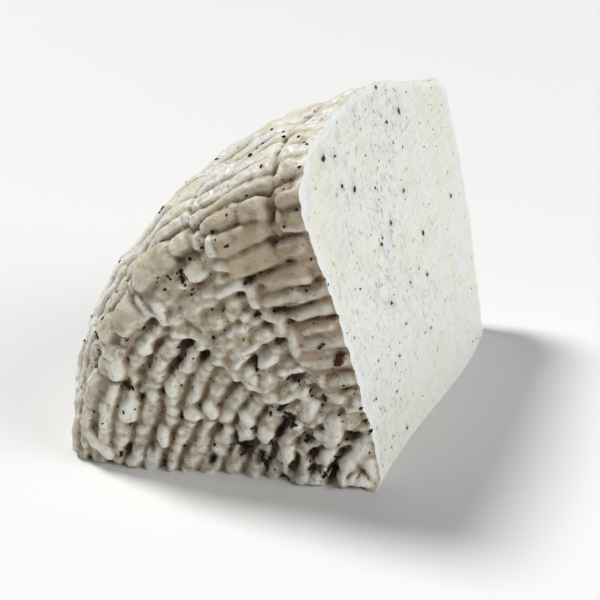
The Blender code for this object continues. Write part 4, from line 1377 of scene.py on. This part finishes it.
@dataclass(frozen=True)
class Strewing:
    """Geometry Nodes that strew small uneven flakes over the parts of a surface that an attribute names.

    Attributes:
        chance: The attribute, from 0 for none to 1 for the most.
        density: The most flakes for each square metre.
        size: The least and the greatest length of a flake.
        thickness: A flake's thickness as a share of its length.
        width: Its least and greatest width, as shares of its length.
        steepness: How much rarer long flakes are than short ones.
        rough_size: The size of the dents in the flakes, and rough_depth their depth.
        tints: The least and the greatest tint.
    """

    name: str
    chance: str
    density: float
    size: Span
    thickness: float
    seed: int
    width: Span = (0.3, 0.9)
    steepness: float = 2.8
    rough_size: float = 0.45 * MM
    rough_depth: float = 0.22 * MM
    tints: Span = (0.0, 0.93)

    def build(self, surface: Object) -> Mesh:
        """Strews the flakes.

        Args:
            surface: The object that they lie on.

        Returns:
            The flakes alone, as one plain mesh.
        """
        tree = bpy.data.node_groups.new("strew_" + self.name, "GeometryNodeTree")
        tree.interface.new_socket("Surface", in_out="INPUT", socket_type="NodeSocketGeometry")
        sizes = {"Density": self.density, "Least size": self.size[0], "Greatest size": self.size[1]}
        sizes["Thickness share"] = self.thickness
        sockets = {}
        for title in sizes:
            sockets[title] = tree.interface.new_socket(title, in_out="INPUT", socket_type="NodeSocketFloat")
        tree.interface.new_socket("Flakes", in_out="OUTPUT", socket_type="NodeSocketGeometry")
        self.lay(Graph(tree))
        modifier = surface.modifiers.new("strew", "NODES")
        modifier.node_group = tree
        for title, value in sizes.items():
            modifier[sockets[title].identifier] = value
        bpy.context.view_layer.update()
        graph = bpy.context.evaluated_depsgraph_get()
        strewn = bpy.data.meshes.new_from_object(surface.evaluated_get(graph))
        surface.modifiers.remove(modifier)
        bpy.data.node_groups.remove(tree)
        return strewn

    def lay(self, graph: Graph) -> None:
        """Lays the nodes: points on the surface, an uneven flake on each, and its tint."""
        inputs = graph.add("NodeGroupInput").outputs
        chance = graph.add("GeometryNodeInputNamedAttribute", {"Name": self.chance}, data_type="FLOAT")
        dense = {0: inputs["Density"], 1: chance.outputs["Attribute"]}
        dense = graph.add("ShaderNodeMath", dense, operation="MULTIPLY").outputs[0]
        points = {"Mesh": inputs["Surface"], "Density": dense, "Seed": self.seed}
        points = graph.add("GeometryNodeDistributePointsOnFaces", points).outputs
        ball = graph.add("GeometryNodeMeshIcoSphere", {"Radius": 0.5, "Subdivisions": 1})
        spin = graph.add("ShaderNodeCombineXYZ", {"Z": self.random(graph, (0.0, 2.0 * math.pi), 1)})
        spin = graph.add("FunctionNodeEulerToRotation", {0: spin.outputs[0]})
        turn = {0: points["Rotation"], 1: spin.outputs[0]}
        turn = graph.add("FunctionNodeRotateRotation", turn, rotation_space="LOCAL")
        share = {0: self.random(graph, (0.0, 1.0), 2), 1: self.steepness}
        share = graph.add("ShaderNodeMath", share, operation="POWER").outputs[0]
        length = {"Value": share, "To Min": inputs["Least size"], "To Max": inputs["Greatest size"]}
        length = graph.add("ShaderNodeMapRange", length).outputs["Result"]
        shape = {"X": 1.0, "Y": self.random(graph, self.width, 3), "Z": inputs["Thickness share"]}
        shape = graph.add("ShaderNodeCombineXYZ", shape).outputs[0]
        scale = graph.add("ShaderNodeVectorMath", {0: shape, "Scale": length}, operation="SCALE").outputs[0]
        placed = {"Points": points["Points"], "Instance": ball.outputs["Mesh"]}
        placed |= {"Rotation": turn.outputs[0], "Scale": scale}
        placed = graph.add("GeometryNodeInstanceOnPoints", placed).outputs[0]
        tint = {"Geometry": placed, "Name": "tint", "Value": self.random(graph, self.tints, 4)}
        tinted = graph.add("GeometryNodeStoreNamedAttribute", tint, data_type="FLOAT", domain="INSTANCE")
        real = graph.add("GeometryNodeRealizeInstances", {0: tinted.outputs[0]})
        rough = graph.add("ShaderNodeTexNoise", {"Scale": 1.0 / self.rough_size}).outputs["Color"]
        dent = graph.add("ShaderNodeVectorMath", {0: rough, 1: MIDDLE_GREY}, operation="SUBTRACT")
        dent = {0: dent.outputs[0], "Scale": self.rough_depth}
        dent = graph.add("ShaderNodeVectorMath", dent, operation="SCALE").outputs[0]
        moved = graph.add("GeometryNodeSetPosition", {"Geometry": real.outputs[0], "Offset": dent}).outputs[0]
        dressed = {"Geometry": moved, "Material": bpy.data.materials["pepper_flakes"]}
        dressed = graph.add("GeometryNodeSetMaterial", dressed).outputs[0]
        graph.add("NodeGroupOutput", {0: dressed})

    def random(self, graph: Graph, span: Span, number: int) -> Socket:
        """A random value for each flake, from its own draw."""
        inputs = {2: span[0], 3: span[1], "Seed": self.seed + number}
        return graph.add("FunctionNodeRandomValue", inputs, data_type="FLOAT").outputs[1]


class Shading(Graph):
    """Builds one material. Every pattern reads Object coordinates or a mesh attribute.

    The material's colour starts as one tone, and further tones are painted over it.
    """

    def __init__(self, name: str) -> None:
        """Starts an empty material with its shader and output."""
        self.material = bpy.data.materials.new(name)
        self.material.use_nodes = True
        super().__init__(self.material.node_tree)
        self.tree.nodes.clear()
        self.shader = self.add("ShaderNodeBsdfPrincipled")
        self.add("ShaderNodeOutputMaterial", {"Surface": self.shader.outputs["BSDF"]})
        self.coordinates = self.add("ShaderNodeTexCoord").outputs["Object"]
        self.colour: object = None

    def attribute(self, name: str) -> Socket:
        """A number that the mesh holds for each vertex."""
        return self.add("ShaderNodeAttribute", attribute_name=name).outputs["Fac"]

    def stretched(self, turn: float, scale: Vector3, source: object = None) -> Socket:
        """Coordinates turned about X, that make a pattern longer along their axes."""
        inputs = {"Vector": source or self.coordinates, "Rotation": (turn, 0.0, 0.0), "Scale": scale}
        return self.add("ShaderNodeMapping", inputs, vector_type="TEXTURE").outputs["Vector"]

    def bent(self, size: float, far: float) -> Socket:
        """Object coordinates pushed about by noise, so that round spots come out uneven."""
        push = self.add("ShaderNodeTexNoise", {"Vector": self.coordinates, "Scale": 1.0 / size})
        centred = {0: push.outputs["Color"], 1: MIDDLE_GREY}
        centred = self.add("ShaderNodeVectorMath", centred, operation="SUBTRACT").outputs["Vector"]
        scaled = self.add("ShaderNodeVectorMath", {0: centred, "Scale": 2.0 * far}, operation="SCALE")
        moved = {0: self.coordinates, 1: scaled.outputs["Vector"]}
        return self.add("ShaderNodeVectorMath", moved, operation="ADD").outputs["Vector"]

    def noise(self, size: float, detail: float = 3.0, rough: float = 0.55, vector: object = None) -> Socket:
        """Noise from 0 to 1, with lumps of about this size in metres."""
        inputs = {"Vector": vector or self.coordinates, "Scale": 1.0 / size}
        inputs |= {"Detail": detail, "Roughness": rough}
        return self.add("ShaderNodeTexNoise", inputs).outputs["Fac"]

    def span(self, value: Socket, low: float, high: float, to: Span = (0.0, 1.0)) -> Socket:
        """Maps a range of a value to another range, smoothly and clamped."""
        inputs = {"Value": value, "From Min": low, "From Max": high, "To Min": to[0], "To Max": to[1]}
        return self.add("ShaderNodeMapRange", inputs, interpolation_type="SMOOTHSTEP").outputs["Result"]

    def fall(self, value: Socket, least: float) -> Socket:
        """From 1 where a value is 0 down to this least share where it is 1."""
        return self.span(value, 0.0, 1.0, (1.0, least))

    def math(self, operation: str, first: object, second: object = 0.0) -> Socket:
        """One sum of two values."""
        return self.add("ShaderNodeMath", {0: first, 1: second}, operation=operation).outputs[0]

    def times(self, *values: object) -> Socket:
        """The product of some values."""
        product = values[0]
        for value in values[1:]:
            product = self.math("MULTIPLY", product, value)
        return product

    def plus(self, first: object, second: object) -> Socket:
        """The sum of two values."""
        return self.math("ADD", first, second)

    def mix(self, share: object, first: object, second: object) -> Socket:
        """A blend of two colours."""
        inputs = {"Factor": share, COLOUR_A: first, COLOUR_B: second}
        return self.add("ShaderNodeMix", inputs, data_type="RGBA").outputs[COLOUR_OUT]

    def paint(self, tone: object, *shares: object) -> None:
        """Lays a tone over the material's colour, by the product of some shares."""
        self.colour = self.mix(self.times(*shares), self.colour, tone)

    def patches(
        self, size: float, low: float, high: float, to: Span = (0.0, 1.0), detail: float = 3.0
    ) -> Socket:
        """Soft patches of about this size in metres, where noise runs from low to high."""
        return self.span(self.noise(size, detail), low, high, to)

    def specks(self, size: float, share: Span, vector: object = None) -> Socket:
        """1 in small scattered specks and 0 between them."""
        inputs = {"Vector": vector or self.coordinates, "Scale": 1.0 / size, "Randomness": 1.0}
        distance = self.add("ShaderNodeTexVoronoi", inputs).outputs["Distance"]
        return self.span(distance, share[0], share[1], (1.0, 0.0))

    def veins(self, size: float, width: float) -> Socket:
        """1 on thin winding lines and 0 between them."""
        away = self.math("ABSOLUTE", self.math("SUBTRACT", self.noise(size, 4.0, 0.6), 0.5))
        return self.span(away, 0.0, width, (1.0, 0.0))

    def bump(self, height: Socket, strength: float, distance: float) -> None:
        """Fine relief that the mesh is too coarse for."""
        made = self.add("ShaderNodeBump", {"Strength": strength, "Distance": distance, "Height": height})
        self.plug(self.shader.inputs["Normal"], made.outputs["Normal"])

    def close(self, settings: dict[str, object]) -> Material:
        """Gives the shader the colour and its other inputs, by name, and hands over the material."""
        for name, value in {"Base Color": self.colour, **settings}.items():
            self.plug(self.shader.inputs[name], value)
        return self.material


@dataclass(frozen=True)
class RindFinish:
    """Moist rind: ivory, painted highlight on ridges, painted shade in grooves, brown where spice settled.

    Its colours are the ground's two, then the tan of patches and of painted shade in creases, the
    painted shade in tan on the bars beside the cut, the painted highlight, partly paler curd, of the
    ridges' tops on the rings and on the wall, the wall's creamy patches and rusty spots, the smooth
    blocks, the grooves' and cracks' painted shade, the spice's stain, also painted shade in pits and
    creases, and its dust.
    """

    ivory: Colour = (0.60, 0.54, 0.39, 1.0)
    milk: Colour = (0.67, 0.63, 0.53, 1.0)
    # Tan: the rind's own patches, and also painted shade in its narrow creases and the wall's.
    tan: Colour = (0.37, 0.275, 0.16, 1.0)
    # Painted shade in tan on the bars beside the slanted cut, over the rind's own tan there.
    tan_and_painted_shade: Colour = (0.40, 0.285, 0.19, 1.0)
    # Painted highlight, partly the curd's paler colour, on the tops of the rings and of the wall.
    peak_and_highlight: Colour = (0.92, 0.905, 0.82, 1.0)
    wall_peak_and_highlight: Colour = (0.92, 0.91, 0.87, 1.0)
    wall_cream: Colour = (0.80, 0.73, 0.49, 1.0)
    wall_rust: Colour = (0.50, 0.33, 0.19, 1.0)
    wax: Colour = (0.63, 0.56, 0.375, 1.0)
    # Painted shade in the wide grooves and the fine cracks.
    groove: Colour = (0.24, 0.145, 0.07, 1.0)
    # The spice's stain, and also painted shade in the pits, the deepest grooves and the creases beside the
    # cut.
    stain: Colour = (0.085, 0.038, 0.018, 1.0)
    speck: Colour = (0.045, 0.03, 0.02, 1.0)
    roughness: float = 0.38
    moisture: float = 0.18
    moist_roughness: float = 0.25
    subsurface: float = 0.16
    subsurface_radius: Vector3 = (1.0, 0.75, 0.5)
    subsurface_scale: float = 0.6 * MM

    def build(self) -> Material:
        """Makes the material."""
        look = Shading("rind")
        wall, shade = look.attribute("wall"), look.attribute("shade")
        cavity = look.times(look.noise(0.9 * MM, 4.0, 0.65), 0.4)
        cavity = look.plus(look.attribute("cavity"), cavity)
        crease = look.plus(look.attribute("crease"), look.times(look.noise(0.7 * MM), 0.1))
        wax = look.times(look.attribute("wax"), look.patches(6.0 * MM, 0.3, 0.7, (0.4, 1.0)))
        faint = look.fall(wall, 0.15)
        self.ground(look, wax, shade)
        # Painted shade: tan in the narrow creases, faint on the wall.
        look.paint(self.tan, look.span(crease, 0.04, 0.2, (0.0, 0.6)), faint)
        self.tops(look, cavity, crease, wax)
        # Painted shade: tan in the creases between the wall's hoops.
        look.paint(self.tan, look.span(crease, 0.10, 0.28, (0.0, 0.6)), wall)
        soiled = look.span(look.attribute("stain"), 0.15, 0.6, (0.62, 1.0))
        # Painted shade in the wide grooves, stronger where spice settled.
        look.paint(self.groove, look.span(cavity, 0.1, 1.1, (0.0, 0.92)), faint, soiled)
        # Painted shade: dark lines in the creases among the bars beside the cut.
        look.paint(self.stain, look.span(crease, 0.16, 0.34, (0.0, 0.5)), look.span(shade, 0.6, 0.95))
        cracks = look.times(look.veins(3.4 * MM, 0.014), look.patches(4.5 * MM, 0.48, 0.6))
        cracks = look.times(cracks, look.fall(wax, 0.2), faint)
        # Painted shade in the fine cracks.
        look.paint(self.groove, cracks, 0.6)
        dust = self.spice(look, cavity)
        marks = look.times(look.plus(dust, cracks), -0.3)
        look.bump(look.plus(look.noise(0.9 * MM, 6.0, 0.7), marks), 0.8, 0.45 * MM)
        return look.close({
            "Roughness": look.patches(1.8 * MM, 0.35, 0.65, (self.roughness - 0.1, self.roughness + 0.15)),
            "Coat Weight": self.moisture,
            "Coat Roughness": self.moist_roughness,
            "Subsurface Weight": self.subsurface,
            "Subsurface Radius": self.subsurface_radius,
            "Subsurface Scale": self.subsurface_scale,
        })

    def ground(self, look: Shading, wax: Socket, shade: Socket) -> None:
        """The rind's colour between tops and grooves, with tan patches and painted shade beside the cut."""
        look.colour = look.mix(look.patches(7.0 * MM, 0.35, 0.65, detail=4.0), self.ivory, self.milk)
        look.paint(self.wax, wax)
        # Tan patches of the rind's own colour, a few more of them in the painted shade beside the cut.
        patchy = look.plus(look.noise(1.6 * MM, 4.0, 0.6), look.times(shade, 0.12))
        look.paint(self.tan, look.span(patchy, 0.48, 0.72, (0.0, 0.65)), look.fall(wax, 0.35))
        # Painted shade in tan on the bars beside the slanted cut.
        look.paint(self.tan_and_painted_shade, shade, 0.7, look.fall(wax, 0.75))

    def tops(self, look: Shading, cavity: Socket, crease: Socket, wax: Socket) -> None:
        """Whitens ridge and lump tops: painted highlight and paler curd, less on blocks and in shade."""
        wall, shade = look.attribute("wall"), look.attribute("shade")
        # Painted highlight, partly paler curd: the tops are whitened, less on blocks and in painted shade.
        white = look.mix(wall, self.peak_and_highlight, self.wall_peak_and_highlight)
        highlight_share = look.times(look.fall(wax, 0.3), look.fall(shade, 0.3))
        highlight_share = look.times(highlight_share, look.patches(1.3 * MM, 0.36, 0.6, (0.55, 1.0), 4.0))
        look.paint(white, look.span(crease, -0.14, 0.02, (0.8, 0.0)), highlight_share)
        look.paint(white, look.span(cavity, -0.6, 0.0, (0.75, 0.0)), highlight_share)
        # Painted highlight on the lumps' tops.
        knob = look.times(look.attribute("knob"), look.patches(1.6 * MM, 0.3, 0.6, (0.35, 0.85)))
        look.paint(white, knob, look.fall(shade, 0.5))
        # Painted highlight: the wall is whitened outside its creases.
        pale = look.span(crease, 0.02, 0.16, (0.9, 0.15))
        look.paint(self.wall_peak_and_highlight, wall, pale, look.fall(wax, 0.2))
        look.paint(self.wall_cream, wall, look.patches(5.0 * MM, 0.44, 0.60, (0.0, 0.6), 4.0))
        rusty = look.specks(3.6 * MM, (0.06, 0.22), look.bent(0.9 * MM, 0.5 * MM))
        look.paint(self.wall_rust, rusty, wall, 0.6)

    def spice(self, look: Shading, cavity: Socket) -> Socket:
        """Spice stain in crevices and round flakes, painted shade there and in the pits, and the dust.

        Returns:
            The dust's share.
        """
        spread = look.plus(cavity, look.times(look.attribute("stain"), 0.6))
        # The spice's stain where it settled, and painted shade in the deepest grooves.
        look.paint(self.stain, look.span(spread, 0.95, 1.5, (0.0, 0.85)))
        pit = look.plus(look.attribute("pit"), look.times(look.noise(0.8 * MM, 4.0, 0.65), 0.6))
        # Painted shade: the pits are darkened with the stain colour.
        look.paint(self.stain, look.span(pit, 0.62, 1.15, (0.0, 0.9)))
        smudge = look.times(look.attribute("smudge"), look.noise(0.6 * MM, 4.0, 0.6))
        look.paint(self.stain, look.span(smudge, 0.22, 0.42, (0.0, 0.92)))
        dust = look.specks(1.1 * MM, (0.10, 0.2), look.bent(0.5 * MM, 0.5 * MM))
        dust = look.times(dust, look.patches(4.0 * MM, 0.36, 0.5, detail=2.0))
        dust = look.times(dust, look.span(cavity, 0.0, 0.5, (0.5, 1.0)))
        look.paint(self.speck, dust)
        return dust


@dataclass(frozen=True)
class PasteFinish:
    """The slanted cut: near white, with creamy patches, the knife's streaks, a grey haze and specks.

    The knife's streaks and the specks' long way lean by the two turns, in radians.
    """

    white: Colour = (0.82, 0.83, 0.78, 1.0)
    cream: Colour = (0.81, 0.80, 0.67, 1.0)
    haze: Colour = (0.70, 0.69, 0.69, 1.0)
    sunken: Colour = (0.54, 0.51, 0.51, 1.0)
    sunken_dark: Colour = (0.24, 0.22, 0.22, 1.0)
    rim: Colour = (0.84, 0.87, 0.87, 1.0)
    speck: Colour = (0.10, 0.08, 0.07, 1.0)
    rust: Colour = (0.50, 0.33, 0.19, 1.0)
    halo: Colour = (0.46, 0.42, 0.33, 1.0)
    knife_turn: float = 0.20
    grain_turn: float = 0.12
    roughness: float = 0.42
    subsurface: float = 0.25
    subsurface_radius: Vector3 = (1.0, 0.85, 0.6)
    subsurface_scale: float = 2.0 * MM

    def build(self) -> Material:
        """Makes the material."""
        look = Shading("cut_paste")
        band = look.attribute("band")
        knife = look.stretched(self.knife_turn, (1.0, 8.0, 1.0))
        streaks = look.noise(0.85 * MM, 2.0, 0.5, knife)
        cream = look.plus(look.noise(12.0 * MM, 3.0), look.times(band, -0.08))
        look.colour = look.mix(look.span(cream, 0.40, 0.56), self.white, self.cream)
        look.paint(self.white, look.span(streaks, 0.48, 0.62, (0.0, 0.6)))
        look.paint(self.haze, look.span(streaks, 0.36, 0.5, (0.3, 0.0)))
        self.mottle(look, band)
        edge = look.plus(look.attribute("edge"), look.patches(2.4 * MM, 0.3, 0.7, (0.0, -0.5), 4.0))
        look.paint(self.rim, look.span(edge, 0.1, 0.8, (0.0, 0.8)))
        halo = look.times(look.attribute("halo"), look.patches(0.7 * MM, 0.3, 0.6, (0.4, 1.0)))
        look.paint(self.halo, halo, 0.75)
        look.bump(look.plus(look.times(look.noise(1.2 * MM), 0.5), streaks), 0.7, 0.3 * MM)
        return look.close({
            "Roughness": look.patches(3.0 * MM, 0.3, 0.7, (self.roughness - 0.08, self.roughness + 0.1)),
            "Subsurface Weight": self.subsurface,
            "Subsurface Radius": self.subsurface_radius,
            "Subsurface Scale": self.subsurface_scale,
        })

    def mottle(self, look: Shading, band: Socket) -> None:
        """The grey haze, the specks that lie under the surface, and the fine ones in it."""
        grain = look.stretched(self.grain_turn, (1.0, 1.0, 2.2), look.bent(1.0 * MM, 0.3 * MM))
        veil = look.times(look.patches(5.0 * MM, 0.35, 0.65, detail=4.0), band)
        look.paint(self.haze, veil, 0.5)
        cloudy = look.times(look.span(look.noise(1.5 * MM, vector=grain), 0.52, 0.68), band)
        look.paint(self.sunken, cloudy, 0.65)
        chance = look.times(look.patches(4.0 * MM, 0.34, 0.56, detail=2.0), band)
        for size, spread, share, tone in (
            (2.3 * MM, (0.05, 0.20), 0.7, self.sunken_dark),
            (1.5 * MM, (0.05, 0.33), 0.75, self.sunken_dark),
            (0.75 * MM, (0.10, 0.24), 0.85, self.speck),
        ):
            look.paint(tone, look.specks(size, spread, grain), chance, share)
        rare = look.patches(6.0 * MM, 0.42, 0.5, detail=1.0)
        look.paint(self.speck, look.specks(3.1 * MM, (0.04, 0.13)), rare, 0.8)
        rusty = look.patches(2.2 * MM, 0.58, 0.64, detail=1.0)
        look.paint(self.rust, look.specks(1.5 * MM, (0.08, 0.2), grain), rusty, 0.75)


@dataclass(frozen=True)
class FlakeFinish:
    """Pepper flakes, from black over red-brown husk to a few rusty ones, by the tint that each carries."""

    black: Colour = (0.014, 0.008, 0.006, 1.0)
    husk: Colour = (0.060, 0.014, 0.009, 1.0)
    rust: Colour = (0.34, 0.165, 0.075, 1.0)
    dust: Colour = (0.14, 0.08, 0.045, 1.0)
    roughness: float = 0.62
    specular_level: float = 0.25

    def build(self) -> Material:
        """Makes the material."""
        look = Shading("pepper_flakes")
        tint = look.attribute("tint")
        look.colour = look.mix(look.span(tint, 0.3, 0.75), self.black, self.husk)
        look.paint(self.rust, look.span(tint, 0.85, 0.97))
        look.paint(self.dust, look.patches(0.5 * MM, 0.5, 0.8, (0.0, 0.3)))
        look.bump(look.noise(0.35 * MM, 3.0), 0.5, 0.12 * MM)
        return look.close({"Roughness": self.roughness, "Specular IOR Level": self.specular_level})


@dataclass(frozen=True)
class Lamp:
    """A wide soft light from one direction, as a large lamp far away gives. Its spread is in degrees."""

    name: str
    source: Vector3
    spread: float
    power: float
    colour: Vector3

    def build(self) -> None:
        """Makes the light."""
        data = bpy.data.lights.new(self.name, "SUN")
        data.angle = math.radians(self.spread)
        data.energy = self.power
        data.color = self.colour
        lamp = bpy.data.objects.new(self.name, data)
        lamp.rotation_euler = Vector(self.source).to_track_quat("Z", "Y").to_euler()
        bpy.context.scene.collection.objects.link(lamp)


@dataclass(frozen=True)
class Studio:
    """A plain pale floor, soft light and the camera at the photograph's viewing angle."""

    floor_size: float = 60.0
    floor_colour: Colour = (0.80, 0.80, 0.80, 1.0)
    floor_roughness: float = 0.7
    sky: float = 0.14
    lens: float = 47.69
    sensor_width: float = 36.0
    clip_start: float = 0.01
    azimuth: float = 0.45601
    elevation: float = 0.38095
    roll: float = -0.02631
    distance: float = 161.8 * MM
    target: Vector3 = (6.83 * MM, -8.0 * MM, 22.29 * MM)
    lamps: tuple[Lamp, ...] = (
        Lamp("right", (0.90, 0.05, 0.45), 40.0, 1.75, (0.99, 1.0, 1.0)),
        Lamp("left", (-0.52, 0.10, 0.84), 14.0, 2.9, (1.0, 1.0, 0.99)),
    )

    def build(self) -> None:
        """Makes the floor, the lights, the world and the camera."""
        self.floor()
        for lamp in self.lamps:
            lamp.build()
        world = bpy.data.worlds.new("studio")
        bpy.context.scene.world = world
        world.use_nodes = True
        background = world.node_tree.nodes["Background"]
        background.inputs["Color"].default_value = (1.0, 1.0, 1.0, 1.0)
        background.inputs["Strength"].default_value = self.sky
        bpy.context.scene.view_settings.view_transform = "Standard"
        self.camera()

    def floor(self) -> None:
        """A wide flat floor at the height that the wedge rests on."""
        half = 0.5 * self.floor_size
        mesh = bpy.data.meshes.new("floor")
        corners = [(-half, -half, 0.0), (half, -half, 0.0), (half, half, 0.0), (-half, half, 0.0)]
        mesh.from_pydata(corners, [], [(0, 1, 2, 3)])
        floor = bpy.data.objects.new("floor", mesh)
        bpy.context.scene.collection.objects.link(floor)
        look = Shading("floor")
        look.colour = self.floor_colour
        mesh.materials.append(look.close({"Roughness": self.floor_roughness}))

    def camera(self) -> None:
        """The camera, turned and rolled as the photograph was taken."""
        azimuth, elevation, roll = self.azimuth, self.elevation, self.roll
        flat = math.cos(elevation)
        back = Vector((math.sin(azimuth) * flat, -math.cos(azimuth) * flat, math.sin(elevation)))
        level = Vector((math.cos(azimuth), math.sin(azimuth), 0.0))
        upright = back.cross(level)
        right = level * math.cos(roll) + upright * math.sin(roll)
        upward = upright * math.cos(roll) - level * math.sin(roll)
        data = bpy.data.cameras.new("camera")
        data.lens = self.lens
        data.sensor_width = self.sensor_width
        data.clip_start = self.clip_start
        data.clip_end = 2.0 * self.floor_size
        camera = bpy.data.objects.new("camera", data)
        turn = Matrix((right, upward, back)).transposed().to_4x4()
        camera.matrix_world = Matrix.Translation(Vector(self.target) + self.distance * back) @ turn
        bpy.context.scene.collection.objects.link(camera)
        bpy.context.scene.camera = camera


def main() -> None:
    """Builds the wedge, dresses it, and sets the studio."""
    logging.basicConfig(level=logging.INFO, format="%(name)s: %(message)s")
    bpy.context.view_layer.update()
    rind = Rind(WHEEL, BasketPrint())
    maker = WedgeMesh(rind)
    wedge = maker.build()
    pepper = Pepper()
    maker.store_on_rind(wedge.data, "smudge", pepper.smudges(maker))
    maker.store(wedge.data, "halo", pepper.halos(maker, wedge))
    wedge.data.materials.append(RindFinish().build())
    wedge.data.materials.append(PasteFinish().build())
    LOG.info("%s: %d triangles", wedge.name, len(wedge.data.polygons))
    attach(wedge, BODY)
    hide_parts(CAD_NODE)
    for piece in pepper.build(maker, wedge, FlakeFinish().build()):
        LOG.info("%s: %d triangles", piece.name, len(piece.data.polygons))
        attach(piece, BODY)
    Studio().build()


if __name__ == "__main__":
    main()
